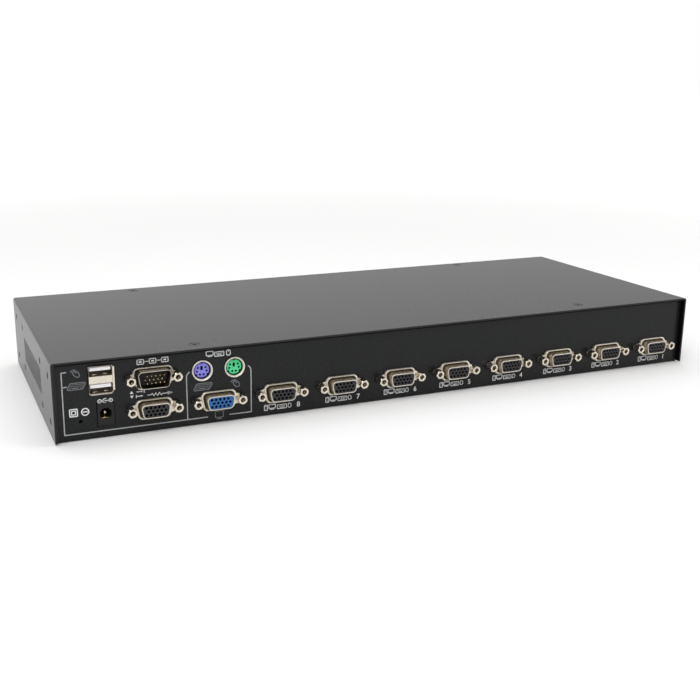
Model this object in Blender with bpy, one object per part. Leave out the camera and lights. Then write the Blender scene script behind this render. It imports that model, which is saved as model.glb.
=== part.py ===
"""Eight-port rack-mount KVM switch, one unit high.

The front, with the port buttons, faces -Y. The rear, with the connectors, faces +Y.
The origin is on the underside, under the middle of the overall box. Units: metres; the
constants and the helpers below work in millimetres and convert when a mesh is made.
"""

import math

import bmesh
import bpy

# ---------------------------------------------------------------- driving dimensions, mm
WIDTH = 411.0            # across the cover's two sides
HEIGHT = 44.4            # underside to top face: one rack unit
COVER_T = 1.1            # cover sheet
COVER_REAR = 81.7        # rear edge of the cover, 3.2 proud of the rear panel
COVER_FRONT = -83.0      # front edge of the cover
COVER_LOW = 0.9          # lower edge of the cover's sides
BEND_R = 1.6             # outside bend radius of the cover
FIT = 0.35               # clearance between neighbouring sheets and parts

BASE_T = 1.0             # chassis sheet
BASE_X = WIDTH / 2 - COVER_T - FIT
PANEL_Y = 78.5           # outer face of the rear panel
FRONT_Y = -79.7          # outer face of the chassis front wall
BASE_TOP = HEIGHT - COVER_T - FIT
LIP = 12.5               # width of the folded lips that carry the cover screws

BEZEL_FRONT = -82.9
BEZEL_BACK = -80.0

PORT_Z = 13.4            # centre height of the lower connector row
UPPER_Z = 30.75          # centre height of the upper cascade connector
PORT_1_X = -181.87       # computer port 1
PORT_PITCH = 37.48       # spacing of the eight computer ports
CONSOLE_X = 116.8        # console video connector
CASCADE_X = 152.7        # the two cascade connectors, one above the other
JACKSCREW_X = 12.495     # half the spacing of a connector's two jackscrews
PIN_PITCH = 2.29
ROW_PITCH = 1.98

DIN_Z = 31.2             # mini-DIN sockets
DIN_KEYBOARD_X = 125.5
DIN_MOUSE_X = 107.2
USB_X, USB_Z = 180.1, 32.5
USB_PORT_Z = 4.7             # each port above and below the middle
DC_X, DC_Z = 178.3, 13.25
PINHOLE_X, PINHOLE_Z, PINHOLE_R = 191.5, 10.7, 0.9

VENT_Y0, VENT_Y1 = -34.2, 38.2   # side vents, along the depth
VENT_Z0, VENT_Z1 = 15.0, 30.3
VENT_SLOTS = 24
VENT_SLOT_W = 1.5
EAR_HOLES_Y = (69.0, 39.0, -39.4, -69.4)   # side holes that take rack ears
EAR_HOLES_Z = (9.5, 34.9)
EAR_HOLE_R = 1.75
COVER_SCREWS = {                             # countersunk screws in the top, by name
    "cover_screw_rear_left": (127.5, 71.8),
    "cover_screw_rear_right": (-126.0, 71.2),
    "cover_screw_front_left": (128.5, -76.0),
    "cover_screw_front_right": (-122.0, -76.0),
}

BUTTON_N = 8
BUTTON_X0, BUTTON_PITCH = -100.0, 30.0
BUTTON_Z = 18.5
BUTTON_W, BUTTON_H = 14.0, 9.0
BUTTON_FRONT = -84.7
LAMP_Z = 33.0
POWER_LAMP_X = 150.0
DISPLAY_X, DISPLAY_Z = -160.0, 24.0
DISPLAY_W, DISPLAY_H = 34.0, 18.0

BOARD_Z0, BOARD_Z1 = 5.0, 6.6      # main board
UPPER_Z0, UPPER_Z1 = 22.0, 23.6    # console board

# ---------------------------------------------------------------- clean scene
for old in list(bpy.data.objects):
    bpy.data.objects.remove(old, do_unlink=True)
COLLECTION = bpy.context.scene.collection


# ---------------------------------------------------------------- materials
def material(name, rgb, rough, metal=0.0, alpha=1.0):
    m = bpy.data.materials.new(name)
    m.use_nodes = True
    b = m.node_tree.nodes["Principled BSDF"]
    b.inputs["Base Color"].default_value = (*rgb, 1.0)
    b.inputs["Roughness"].default_value = rough
    b.inputs["Metallic"].default_value = metal
    b.inputs["Alpha"].default_value = alpha
    return m


# ---------------------------------------------------------------- shape helpers
def circle(r, n, cx=0.0, cz=0.0, start=0.0):
    return [(cx + r * math.cos(start + 2 * math.pi * i / n), cz + r * math.sin(start + 2 * math.pi * i / n)) for i in range(n)]


def rect(w, h, cx=0.0, cz=0.0):
    return [(cx - w / 2, cz - h / 2), (cx + w / 2, cz - h / 2), (cx + w / 2, cz + h / 2), (cx - w / 2, cz + h / 2)]


def rounded(poly, r, n=2):
    """A convex outline with each corner replaced by an arc of n segments."""
    out = []
    for i, p in enumerate(poly):
        a, b = poly[i - 1], poly[(i + 1) % len(poly)]
        ua = (a[0] - p[0], a[1] - p[1])
        ub = (b[0] - p[0], b[1] - p[1])
        la, lb = math.hypot(*ua), math.hypot(*ub)
        ua = (ua[0] / la, ua[1] / la)
        ub = (ub[0] / lb, ub[1] / lb)
        half = math.acos(max(-1.0, min(1.0, ua[0] * ub[0] + ua[1] * ub[1]))) / 2
        d = r / math.tan(half)
        bis = (ua[0] + ub[0], ua[1] + ub[1])
        lbis = math.hypot(*bis)
        c = (p[0] + bis[0] / lbis * r / math.sin(half), p[1] + bis[1] / lbis * r / math.sin(half))
        s = (p[0] + ua[0] * d, p[1] + ua[1] * d)
        e = (p[0] + ub[0] * d, p[1] + ub[1] * d)
        t0 = math.atan2(s[1] - c[1], s[0] - c[0])
        t1 = math.atan2(e[1] - c[1], e[0] - c[0])
        while t1 - t0 > math.pi:
            t1 -= 2 * math.pi
        while t1 - t0 < -math.pi:
            t1 += 2 * math.pi
        for k in range(n + 1):
            t = t0 + (t1 - t0) * k / n
            out.append((c[0] + r * math.cos(t), c[1] + r * math.sin(t)))
    return out


def d_outline(width, height, r, n=2, slope=10.0):
    """The D of a D-sub: wide at the top, sides leaning in towards the bottom."""
    inset = height * math.tan(math.radians(slope))
    return rounded([(-width / 2 + inset, -height / 2), (width / 2 - inset, -height / 2), (width / 2, height / 2), (-width / 2, height / 2)], r, n)


def place(p, q, a, axis):
    return {"Y": (p, a, q), "Z": (p, q, a), "X": (a, p, q)}[axis]


def prism(bm, poly, a0, a1, axis="Y", at=(0.0, 0.0, 0.0)):
    """A closed prism: an outline drawn across an axis, carried from a0 to a1 along it."""
    low = [bm.verts.new([c + o for c, o in zip(place(p, q, a0, axis), at)]) for p, q in poly]
    high = [bm.verts.new([c + o for c, o in zip(place(p, q, a1, axis), at)]) for p, q in poly]
    faces = [bm.faces.new(low), bm.faces.new(list(reversed(high)))]
    for i in range(len(poly)):
        j = (i + 1) % len(poly)
        faces.append(bm.faces.new((low[j], low[i], high[i], high[j])))
    bmesh.ops.recalc_face_normals(bm, faces=faces)


def box(bm, x0, x1, y0, y1, z0, z1):
    prism(bm, [(x0, z0), (x1, z0), (x1, z1), (x0, z1)], y0, y1, "Y")


def turned(bm, profile, n, at=(0.0, 0.0, 0.0), axis="Y", start=0.0):
    """A closed turned body. profile is (radius, place along the axis), from one capped end to the other."""
    rings = [[bm.verts.new([c + o for c, o in zip(place(p, q, a, axis), at)]) for p, q in circle(r, n, start=start)] for r, a in profile]
    faces = [bm.faces.new(rings[0]), bm.faces.new(list(reversed(rings[-1])))]
    for one, two in zip(rings, rings[1:]):
        for i in range(n):
            j = (i + 1) % n
            faces.append(bm.faces.new((one[j], one[i], two[i], two[j])))
    bmesh.ops.recalc_face_normals(bm, faces=faces)


def solid(name, bm, mat=None, smooth=False):
    """Makes a named object from a bmesh drawn in millimetres."""
    bmesh.ops.scale(bm, vec=(0.001, 0.001, 0.001), verts=bm.verts)
    me = bpy.data.meshes.new(name)
    bm.to_mesh(me)
    bm.free()
    o = bpy.data.objects.new(name, me)
    COLLECTION.objects.link(o)
    if mat:
        me.materials.append(mat)
    if smooth:
        me.shade_smooth()
        me.set_sharp_from_angle(angle=math.radians(35))
    return o


def operand(target, bm, operation, name):
    """A hidden mesh joined to, or cut from, the target by a Boolean modifier."""
    tool = solid(name, bm)
    tool.hide_render = True
    tool.display_type = "WIRE"
    m = target.modifiers.new(operation.lower(), "BOOLEAN")
    m.operation = operation
    m.solver = "EXACT"
    m.object = tool
    return tool


def settle(o):
    """Replaces an object's mesh by what its modifiers make, so that copies can share it."""
    bpy.context.view_layer.update()
    dg = bpy.context.evaluated_depsgraph_get()
    me = bpy.data.meshes.new_from_object(o.evaluated_get(dg))
    tools = [m.object for m in o.modifiers if m.type == "BOOLEAN"]
    o.modifiers.clear()
    o.data = me
    for t in tools:
        bpy.data.objects.remove(t, do_unlink=True)
    return me


def copy_of(name, me, x, y, z, mat):
    """A named copy that shares a mesh made around its own origin."""
    own = me.copy() if me.users and mat and (not me.materials or me.materials[0] != mat) else me
    if own is not me:
        own.materials.clear()
        own.materials.append(mat)
    o = bpy.data.objects.new(name, own)
    o.location = (x * 0.001, y * 0.001, z * 0.001)
    COLLECTION.objects.link(o)
    return o


paint = material("black_paint", (0.028, 0.029, 0.030), 0.42)
nickel = material("nickel", (0.62, 0.55, 0.45), 0.28, 1.0)
plastic = material("black_plastic", (0.02, 0.02, 0.022), 0.45)
grey_insert = material("grey_insert", (0.055, 0.055, 0.062), 0.5)
blue = material("blue_insert", (0.03, 0.14, 0.42), 0.45)
purple = material("purple_insert", (0.22, 0.20, 0.68), 0.45)
green = material("green_insert", (0.06, 0.60, 0.22), 0.45)
cream = material("usb_tongue", (0.80, 0.78, 0.74), 0.5)
board_green = material("circuit_board", (0.02, 0.13, 0.05), 0.4)
alu = material("heat_sink", (0.55, 0.56, 0.58), 0.35, 1.0)
chip = material("chip", (0.015, 0.015, 0.016), 0.5)
cap_can = material("capacitor", (0.06, 0.07, 0.12), 0.35)
button_grey = material("button", (0.30, 0.31, 0.32), 0.5)
smoke = material("display_window", (0.05, 0.005, 0.005), 0.1, 0.0, 1.0)
lamp = material("lamp", (0.10, 0.50, 0.14), 0.25)
ribbon = material("ribbon", (0.35, 0.36, 0.38), 0.5)
steel = material("screw", (0.10, 0.10, 0.105), 0.35, 0.8)

# ---------------------------------------------------------------- port positions
port_x = [PORT_1_X + PORT_PITCH * k for k in range(8)]
female_sites = [("computer_port_%d" % (k + 1), port_x[k], PORT_Z) for k in range(8)]
female_sites += [("console_video", CONSOLE_X, PORT_Z), ("cascade_out", CASCADE_X, PORT_Z)]
all_sites = female_sites + [("cascade_in", CASCADE_X, UPPER_Z)]
button_x = [BUTTON_X0 + BUTTON_PITCH * k for k in range(BUTTON_N)]

# ---------------------------------------------------------------- top cover: top and two sides, one folded sheet
H = WIDTH / 2
bm = bmesh.new()
outer, inner = [], []
for k in range(4):
    t = math.radians(90 * k / 3)
    outer.append((H - BEND_R + BEND_R * math.cos(t), HEIGHT - BEND_R + BEND_R * math.sin(t)))
    ri = BEND_R - COVER_T
    inner.append((H - BEND_R + ri * math.cos(t), HEIGHT - BEND_R + ri * math.sin(t)))
outline = [(H, COVER_LOW)] + outer + [(-x, z) for x, z in reversed(outer)] + [(-H, COVER_LOW), (-H + COVER_T, COVER_LOW)]
outline += [(-x, z) for x, z in inner] + list(reversed(inner)) + [(H - COVER_T, COVER_LOW)]
prism(bm, outline, COVER_FRONT, COVER_REAR)
top_cover = solid("top_cover", bm, paint)

bm = bmesh.new()
pitch = (VENT_Y1 - VENT_Y0) / VENT_SLOTS
for side in (-1, 1):
    a0, a1 = sorted((side * (H - 4), side * (H + 4)))
    for k in range(VENT_SLOTS):
        y = VENT_Y0 + pitch * (k + 0.5)
        prism(bm, rect(VENT_SLOT_W, VENT_Z1 - VENT_Z0, y, (VENT_Z0 + VENT_Z1) / 2), a0, a1, "X")
    for y in EAR_HOLES_Y:
        for z in EAR_HOLES_Z:
            prism(bm, circle(EAR_HOLE_R + 0.3, 8, y, z), a0, a1, "X")
for x, y in COVER_SCREWS.values():
    turned(bm, [(1.7, HEIGHT - 3), (1.7, HEIGHT - COVER_T - 0.4), (4.2, HEIGHT + 1.0)], 12, (x, y, 0), "Z")
operand(top_cover, bm, "DIFFERENCE", "cut_top_cover")

# ---------------------------------------------------------------- base chassis: tray, rear panel and front wall
bm = bmesh.new()
box(bm, -BASE_X, BASE_X, FRONT_Y, PANEL_Y, 0, BASE_TOP)
base = solid("base_chassis", bm, paint)
bm = bmesh.new()
box(bm, -BASE_X + BASE_T, BASE_X - BASE_T, FRONT_Y + BASE_T, PANEL_Y - BASE_T, BASE_T, BASE_TOP - BASE_T)
operand(base, bm, "DIFFERENCE", "cut_hollow")
bm = bmesh.new()
box(bm, -BASE_X + BASE_T, BASE_X - BASE_T, FRONT_Y + LIP, PANEL_Y - LIP, BASE_TOP - 2 * BASE_T, BASE_TOP + 5)
operand(base, bm, "DIFFERENCE", "cut_between_lips")

standoffs = [(x, y) for x in (-185.0, -70.0, 70.0, 185.0) for y in (-50.0, 60.0)]
bm = bmesh.new()
for x, y in standoffs:
    prism(bm, circle(3.0, 8, x, y), BASE_T / 2, BOARD_Z0 - FIT, "Z")
operand(base, bm, "UNION", "add_standoffs")

bm = bmesh.new()
for name, x, z in all_sites:
    wide = 19.4 if name == "cascade_in" else 17.4
    high = 10.4 if name == "cascade_in" else 9.0
    prism(bm, d_outline(wide, high, 2.4), PANEL_Y - 4, PANEL_Y + 4, "Y", (x, 0, z))
    for s in (-1, 1):
        prism(bm, circle(1.75, 6, s * JACKSCREW_X, 0), PANEL_Y - 4, PANEL_Y + 4, "Y", (x, 0, z))
for x in (DIN_KEYBOARD_X, DIN_MOUSE_X):
    prism(bm, circle(5.75, 20), PANEL_Y - 4, PANEL_Y + 4, "Y", (x, 0, DIN_Z))
prism(bm, rect(13.8, 16.9, USB_X, USB_Z), PANEL_Y - 4, PANEL_Y + 4)
prism(bm, rect(9.7, 13.2, DC_X, DC_Z), PANEL_Y - 4, PANEL_Y + 4)
prism(bm, circle(PINHOLE_R, 8, PINHOLE_X, PINHOLE_Z), PANEL_Y - 4, PANEL_Y + 4)
for x in button_x:
    prism(bm, rect(BUTTON_W + 1.2, BUTTON_H + 1.2, x, BUTTON_Z), FRONT_Y - 4, FRONT_Y + 4)
for x in button_x + [POWER_LAMP_X]:
    prism(bm, rect(5.0, 3.0, x, LAMP_Z), FRONT_Y - 4, FRONT_Y + 4)
prism(bm, rect(DISPLAY_W - 6, DISPLAY_H - 5, DISPLAY_X, DISPLAY_Z), FRONT_Y - 4, FRONT_Y + 4)
for side in (-1, 1):
    a0, a1 = sorted((side * (BASE_X - 5), side * (BASE_X + 5)))
    prism(bm, rect(VENT_Y1 - VENT_Y0 + 2, VENT_Z1 - VENT_Z0 + 2, (VENT_Y0 + VENT_Y1) / 2, (VENT_Z0 + VENT_Z1) / 2), a0, a1, "X")
    for y in EAR_HOLES_Y:
        for z in EAR_HOLES_Z:
            prism(bm, circle(EAR_HOLE_R, 8, y, z), a0, a1, "X")
for x, y in COVER_SCREWS.values():
    prism(bm, circle(1.75, 8, x, y), BASE_TOP - 4, BASE_TOP + 4, "Z")
operand(base, bm, "DIFFERENCE", "cut_panel_openings")

# ---------------------------------------------------------------- front bezel
bm = bmesh.new()
prism(bm, rounded(rect(2 * BASE_X, BASE_TOP, 0, BASE_TOP / 2), 1.2, 2), BEZEL_FRONT, BEZEL_BACK)
bezel = solid("front_bezel", bm, plastic)
bm = bmesh.new()
for x in button_x:
    prism(bm, rounded(rect(BUTTON_W + 0.8, BUTTON_H + 0.8, x, BUTTON_Z), 1.0, 1), BEZEL_FRONT - 4, BEZEL_BACK + 4)
for x in button_x + [POWER_LAMP_X]:
    prism(bm, rect(4.7, 2.7, x, LAMP_Z), BEZEL_FRONT - 4, BEZEL_BACK + 4)
prism(bm, rect(DISPLAY_W + 0.7, DISPLAY_H + 0.7, DISPLAY_X, DISPLAY_Z), BEZEL_FRONT - 4, BEZEL_BACK + 4)
operand(bezel, bm, "DIFFERENCE", "cut_bezel")

# ---------------------------------------------------------------- D-sub connector shell, with its flange and two jackscrews
def ear_flange(collar_w, collar_h):
    """Flange outline: a D collar in the middle, and a round-ended ear under each jackscrew."""
    ear_r = 3.0
    d = [p for p in d_outline(collar_w, collar_h, 2.6, 2)]
    side = lambda z: collar_w / 2 - (collar_h / 2 - z) * math.tan(math.radians(10))
    right_low = [p for p in d if p[0] > 0 and p[1] < -ear_r]
    right_high = [p for p in d if p[0] > 0 and p[1] > ear_r]
    ear = [(JACKSCREW_X + ear_r * math.cos(t), ear_r * math.sin(t)) for t in [math.radians(a) for a in (-90, -54, -18, 18, 54, 90)]]
    right = right_low + [(side(-ear_r) + 0.02, -ear_r)] + ear + [(side(ear_r) + 0.02, ear_r)] + right_high
    left = [(-x, z) for x, z in reversed(right)]
    return right + left


def jackscrew(bm, x):
    """Hexagonal post with a tapped bore, and the threaded shank behind it."""
    turned(bm, [(1.3, 1.4), (1.3, 6.0), (2.75, 6.0), (2.75, 0.75), (1.35, 0.75), (1.35, -3.8)], 6, (x, 0, 0), "Y")


def connector_shell(name, tube_w, tube_h, collar_w, collar_h, wall=0.55, front=6.2):
    bm = bmesh.new()
    prism(bm, ear_flange(collar_w, collar_h), 0.3, 1.2)
    o = solid(name, bm, nickel)
    bm = bmesh.new()
    prism(bm, d_outline(tube_w, tube_h, 2.3), 0.7, front)
    jackscrew(bm, -JACKSCREW_X)
    jackscrew(bm, JACKSCREW_X)
    operand(o, bm, "UNION", name + "_add")
    bm = bmesh.new()
    prism(bm, d_outline(tube_w - 2 * wall, tube_h - 2 * wall, 1.8), -5, front + 5)
    operand(o, bm, "DIFFERENCE", name + "_cut")
    return o


def contact_sites(mirror=1.0):
    """Fifteen contacts in three rows of five; the middle row is half a pitch to one side."""
    out = []
    for row, shift in ((1, 0.25), (0, -0.25), (-1, 0.25)):
        for k in range(5):
            out.append((mirror * ((k - 2) + shift) * PIN_PITCH, row * ROW_PITCH))
    return out


def female_insert(name):
    bm = bmesh.new()
    prism(bm, rect(19.0, 12.3, 0, -0.15), -12.0, -1.35)
    o = solid(name, bm, grey_insert)
    bm = bmesh.new()
    prism(bm, d_outline(14.5, 6.1, 1.5), -3.0, 5.9)
    operand(o, bm, "UNION", name + "_add")
    bm = bmesh.new()
    for x, z in contact_sites():
        prism(bm, circle(0.58, 4, x, z, math.pi / 4), 1.5, 8.0)
    operand(o, bm, "DIFFERENCE", name + "_cut")
    return o


def male_insert(name):
    bm = bmesh.new()
    prism(bm, rect(19.0, 12.3, 0, -0.15), -12.0, -1.35)
    o = solid(name, bm, grey_insert)
    bm = bmesh.new()
    prism(bm, d_outline(16.6, 7.8, 1.6), -3.0, 0.8)
    operand(o, bm, "UNION", name + "_add")
    bm = bmesh.new()
    for x, z in contact_sites(-1.0):
        prism(bm, circle(0.40, 5, x, z), 0.2, 5.2)
    operand(o, bm, "UNION", name + "_pins")
    return o


shell_one = connector_shell("female_shell_pattern", 16.3, 7.9, 21.0, 10.8)
shell_mesh = settle(shell_one)
bpy.data.objects.remove(shell_one, do_unlink=True)
insert_one = female_insert("female_insert_pattern")
insert_mesh = settle(insert_one)
bpy.data.objects.remove(insert_one, do_unlink=True)
for name, x, z in female_sites:
    copy_of(name + "_shell", shell_mesh, x, PANEL_Y, z, nickel)
    copy_of(name + "_insert", insert_mesh, x, PANEL_Y, z, blue if name == "console_video" else grey_insert)
male_shell = connector_shell("cascade_in_shell", 18.6, 9.6, 22.4, 11.6)
settle(male_shell)
male_shell.location = (CASCADE_X * 0.001, PANEL_Y * 0.001, UPPER_Z * 0.001)
male_core = male_insert("cascade_in_insert")
settle(male_core)
male_core.location = (CASCADE_X * 0.001, PANEL_Y * 0.001, UPPER_Z * 0.001)

# ---------------------------------------------------------------- mini-DIN sockets: plated shield ring and coloured core
bm = bmesh.new()
turned(bm, [(4.6, -4.6), (4.6, 1.5), (5.9, 1.5), (5.9, 0.3), (5.4, 0.3), (5.4, -4.6)], 20)
caps = [f for f in bm.faces if len(f.verts) == 20]
bmesh.ops.delete(bm, geom=caps, context="FACES_ONLY")
bmesh.ops.bridge_loops(bm, edges=[e for e in bm.edges if len(e.link_faces) == 1])
bmesh.ops.recalc_face_normals(bm, faces=bm.faces)
shield = solid("shield_pattern", bm, nickel, smooth=True)
shield_mesh = shield.data
bpy.data.objects.remove(shield, do_unlink=True)

bm = bmesh.new()
prism(bm, rect(14.0, 13.6, 0, -0.3), -13.0, -5.0)
core = solid("core_pattern", bm, purple)
bm = bmesh.new()
prism(bm, circle(4.15, 20), -6.0, -0.9)
operand(core, bm, "UNION", "core_add")
bm = bmesh.new()
prism(bm, rect(1.5, 2.9, 0, 1.1), -3.5, 3.0)
for x, z in ((-1.5, -2.3), (1.5, -2.3), (-2.75, -0.4), (2.75, -0.4), (-2.4, 1.9), (2.4, 1.9)):
    prism(bm, circle(0.5, 4, x, z), -3.5, 3.0)
for a in (-90 - 110, -90 + 110, 90 - 180):
    t = math.radians(a)
    prism(bm, rect(1.0, 1.0, 4.3 * math.cos(t), 4.3 * math.sin(t)), -3.5, 3.0)
operand(core, bm, "DIFFERENCE", "core_cut")
core_mesh = settle(core)
bpy.data.objects.remove(core, do_unlink=True)
for name, x, colour in (("keyboard_socket", DIN_KEYBOARD_X, purple), ("mouse_socket", DIN_MOUSE_X, green)):
    copy_of(name + "_shield", shield_mesh, x, PANEL_Y, DIN_Z, nickel)
    copy_of(name + "_core", core_mesh, x, PANEL_Y, DIN_Z, colour)

# ---------------------------------------------------------------- stacked double USB receptacle
bm = bmesh.new()
box(bm, USB_X - 6.55, USB_X + 6.55, PANEL_Y - 14.0, PANEL_Y + 1.0, USB_Z - 8.1, USB_Z + 8.1)
usb = solid("usb_shell", bm, nickel)
bm = bmesh.new()
for z in (USB_Z + USB_PORT_Z, USB_Z - USB_PORT_Z):
    box(bm, USB_X - 6.1, USB_X + 6.1, PANEL_Y - 20, PANEL_Y + 5, z - 2.6, z + 2.6)
operand(usb, bm, "DIFFERENCE", "usb_cut")
bm = bmesh.new()
box(bm, USB_X - 6.4, USB_X + 6.4, PANEL_Y - 17.0, PANEL_Y - 14.3, USB_Z - 8.0, USB_Z + 8.0)
usb_core = solid("usb_tongues", bm, cream)
bm = bmesh.new()
for z in (USB_Z + USB_PORT_Z, USB_Z - USB_PORT_Z):
    box(bm, USB_X - 5.6, USB_X + 5.6, PANEL_Y - 15.5, PANEL_Y - 0.2, z + 0.2, z + 2.1)
operand(usb_core, bm, "UNION", "usb_core_add")

# ---------------------------------------------------------------- power inlet
bm = bmesh.new()
box(bm, DC_X - 4.5, DC_X + 4.5, PANEL_Y - 13.0, PANEL_Y + 0.7, DC_Z - 6.2, DC_Z + 6.2)
dc = solid("power_inlet_body", bm, plastic)
bm = bmesh.new()
prism(bm, circle(3.1, 16, DC_X, DC_Z + 0.4), PANEL_Y - 10.0, PANEL_Y + 5)
operand(dc, bm, "DIFFERENCE", "dc_cut")
bm = bmesh.new()
turned(bm, [(1.0, -9.7), (1.0, -0.6), (0.5, -0.1)], 10, (DC_X, PANEL_Y, DC_Z + 0.4))
solid("power_inlet_pin", bm, nickel, smooth=True)

# ---------------------------------------------------------------- boards
bm = bmesh.new()
box(bm, -198, 198, -58, PANEL_Y - 1.6, BOARD_Z0, BOARD_Z1)
main_board = solid("main_board", bm, board_green)
bm = bmesh.new()
box(bm, 97, 192, 42, PANEL_Y - 1.6, UPPER_Z0, UPPER_Z1)
solid("console_board", bm, board_green)
bm = bmesh.new()
box(bm, 100, 134, 46, 51, BOARD_Z1 + 0.3, UPPER_Z0 - 0.3)
solid("riser_header", bm, plastic)

bm = bmesh.new()
box(bm, -202.6, 202.6, -67.6, -66.0, 1.6, 41.5)
button_board = solid("button_board", bm, board_green)
bm = bmesh.new()
for x in button_x:
    prism(bm, rect(6.2, 6.2, x, BUTTON_Z), -71.5, -67.0)
operand(button_board, bm, "UNION", "add_switches")
bm = bmesh.new()
for x in button_x:
    prism(bm, circle(1.7, 8, x, BUTTON_Z), -72.5, -71.0)
operand(button_board, bm, "UNION", "add_plungers")

bm = bmesh.new()
box(bm, DISPLAY_X - 12.5, DISPLAY_X + 12.5, -78.3, -67.9, DISPLAY_Z - 7.0, DISPLAY_Z + 7.0)
solid("display_module", bm, chip)
bm = bmesh.new()
prism(bm, rounded(rect(DISPLAY_W, DISPLAY_H, DISPLAY_X, DISPLAY_Z), 1.0, 2), -82.7, -80.05)
solid("display_window", bm, smoke)

bm = bmesh.new()
box(bm, button_x[0] - 6, POWER_LAMP_X + 6, -78.3, -75.8, LAMP_Z - 1.5, LAMP_Z + 1.5)
lamps = solid("lamp_bar", bm, lamp)
bm = bmesh.new()
for x in button_x + [POWER_LAMP_X]:
    prism(bm, rect(4.0, 2.0, x, LAMP_Z), -83.1, -77.5)
operand(lamps, bm, "UNION", "add_lenses")

# flat cable from the button board back to the main board, folded down
bm = bmesh.new()
run = [(-65.6, 14.0), (-59.0, 14.0), (-54.5, 13.2), (-52.0, 10.6), (-51.5, 9.2), (-50.6, 9.2), (-51.0, 11.2), (-53.9, 14.1), (-58.8, 14.9), (-65.6, 14.9)]
prism(bm, run, 10.0, 36.0, "X")
solid("ribbon_cable", bm, ribbon)
bm = bmesh.new()
box(bm, 8.0, 38.0, -54.0, -48.0, BOARD_Z1 + 0.3, 8.9)
solid("ribbon_header", bm, chip)

bm = bmesh.new()
box(bm, -30, -10, -10, 10, BOARD_Z1 + 0.3, 8.4)
solid("main_controller", bm, chip)
bm = bmesh.new()
box(bm, 40, 54, 20, 34, BOARD_Z1 + 0.3, 8.4)
solid("video_switch_chip", bm, chip)
bm = bmesh.new()
box(bm, 150, 176, 14, 28, BOARD_Z1 + 0.3, 9.3)
sink = solid("heat_sink", bm, alu)
bm = bmesh.new()
for k in range(6):
    box(bm, 150.3 + 4.84 * k, 151.5 + 4.84 * k, 14.5, 27.5, 8.5, 24.0)
operand(sink, bm, "UNION", "add_fins")
bm = bmesh.new()
box(bm, 157, 169, 3.0, 12.5, BOARD_Z1 + 0.3, 11.4)
solid("voltage_regulator", bm, chip)
bm = bmesh.new()
turned(bm, [(5.0, BOARD_Z1 + 0.3), (5.0, 19.0), (4.6, 19.4)], 16, (140, 20, 0), "Z")
solid("filter_capacitor", bm, cap_can, smooth=True)

# ---------------------------------------------------------------- port buttons: cap, retaining flange and stem
bm = bmesh.new()
prism(bm, rounded(rect(BUTTON_W, BUTTON_H), 0.8, 1), BUTTON_FRONT + 0.5, -77.6)
cap_mesh_object = solid("button_pattern", bm, button_grey)
bm = bmesh.new()
prism(bm, rounded(rect(BUTTON_W - 1.0, BUTTON_H - 1.0), 0.6, 1), BUTTON_FRONT, BUTTON_FRONT + 1.0)
operand(cap_mesh_object, bm, "UNION", "cap_face")
bm = bmesh.new()
prism(bm, rect(BUTTON_W + 3, BUTTON_H + 3), -78.35, -77.2)
operand(cap_mesh_object, bm, "UNION", "cap_flange")
bm = bmesh.new()
prism(bm, rect(4, 4), -77.8, -73.8)
operand(cap_mesh_object, bm, "UNION", "cap_stem")
cap_mesh = settle(cap_mesh_object)
bpy.data.objects.remove(cap_mesh_object, do_unlink=True)
for k, x in enumerate(button_x):
    copy_of("port_button_%d" % (k + 1), cap_mesh, x, 0, BUTTON_Z, button_grey)

# ---------------------------------------------------------------- countersunk cover screws
bm = bmesh.new()
turned(bm, [(2.75, HEIGHT - 0.05), (1.55, HEIGHT - 1.25), (1.35, HEIGHT - 1.45), (1.35, HEIGHT - 6.5)], 12, (0, 0, 0), "Z")
screw = solid("screw_pattern", bm, steel, smooth=False)
bm = bmesh.new()
cross = [(-0.35, -1.5), (0.35, -1.5), (0.35, -0.35), (1.5, -0.35), (1.5, 0.35), (0.35, 0.35), (0.35, 1.5), (-0.35, 1.5), (-0.35, 0.35), (-1.5, 0.35), (-1.5, -0.35), (-0.35, -0.35)]
prism(bm, cross, HEIGHT - 0.8, HEIGHT + 2, "Z")
operand(screw, bm, "DIFFERENCE", "cross_cut")
screw_mesh = settle(screw)
bpy.data.objects.remove(screw, do_unlink=True)
for name, (x, y) in COVER_SCREWS.items():
    copy_of(name, screw_mesh, x, y, 0, steel)
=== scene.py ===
import math

import bmesh
import bpy
from mathutils import Matrix, Vector


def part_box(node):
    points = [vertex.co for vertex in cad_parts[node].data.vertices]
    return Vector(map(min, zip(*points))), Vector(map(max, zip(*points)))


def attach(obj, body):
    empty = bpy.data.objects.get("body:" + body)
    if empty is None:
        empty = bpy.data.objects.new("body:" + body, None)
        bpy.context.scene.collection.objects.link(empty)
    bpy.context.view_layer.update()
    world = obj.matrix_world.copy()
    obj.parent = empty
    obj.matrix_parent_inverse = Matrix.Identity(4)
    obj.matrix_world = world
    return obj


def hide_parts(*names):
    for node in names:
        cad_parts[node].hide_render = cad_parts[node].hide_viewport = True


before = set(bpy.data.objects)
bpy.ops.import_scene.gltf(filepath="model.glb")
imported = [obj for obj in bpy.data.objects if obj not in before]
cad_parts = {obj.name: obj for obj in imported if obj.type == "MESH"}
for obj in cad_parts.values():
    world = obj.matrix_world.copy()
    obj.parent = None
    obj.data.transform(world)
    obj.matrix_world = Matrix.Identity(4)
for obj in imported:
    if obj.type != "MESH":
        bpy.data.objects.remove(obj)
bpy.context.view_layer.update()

ROOT = "chassis"
scene = bpy.context.scene
collection = scene.collection
scene.view_settings.view_transform = "Standard"

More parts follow.
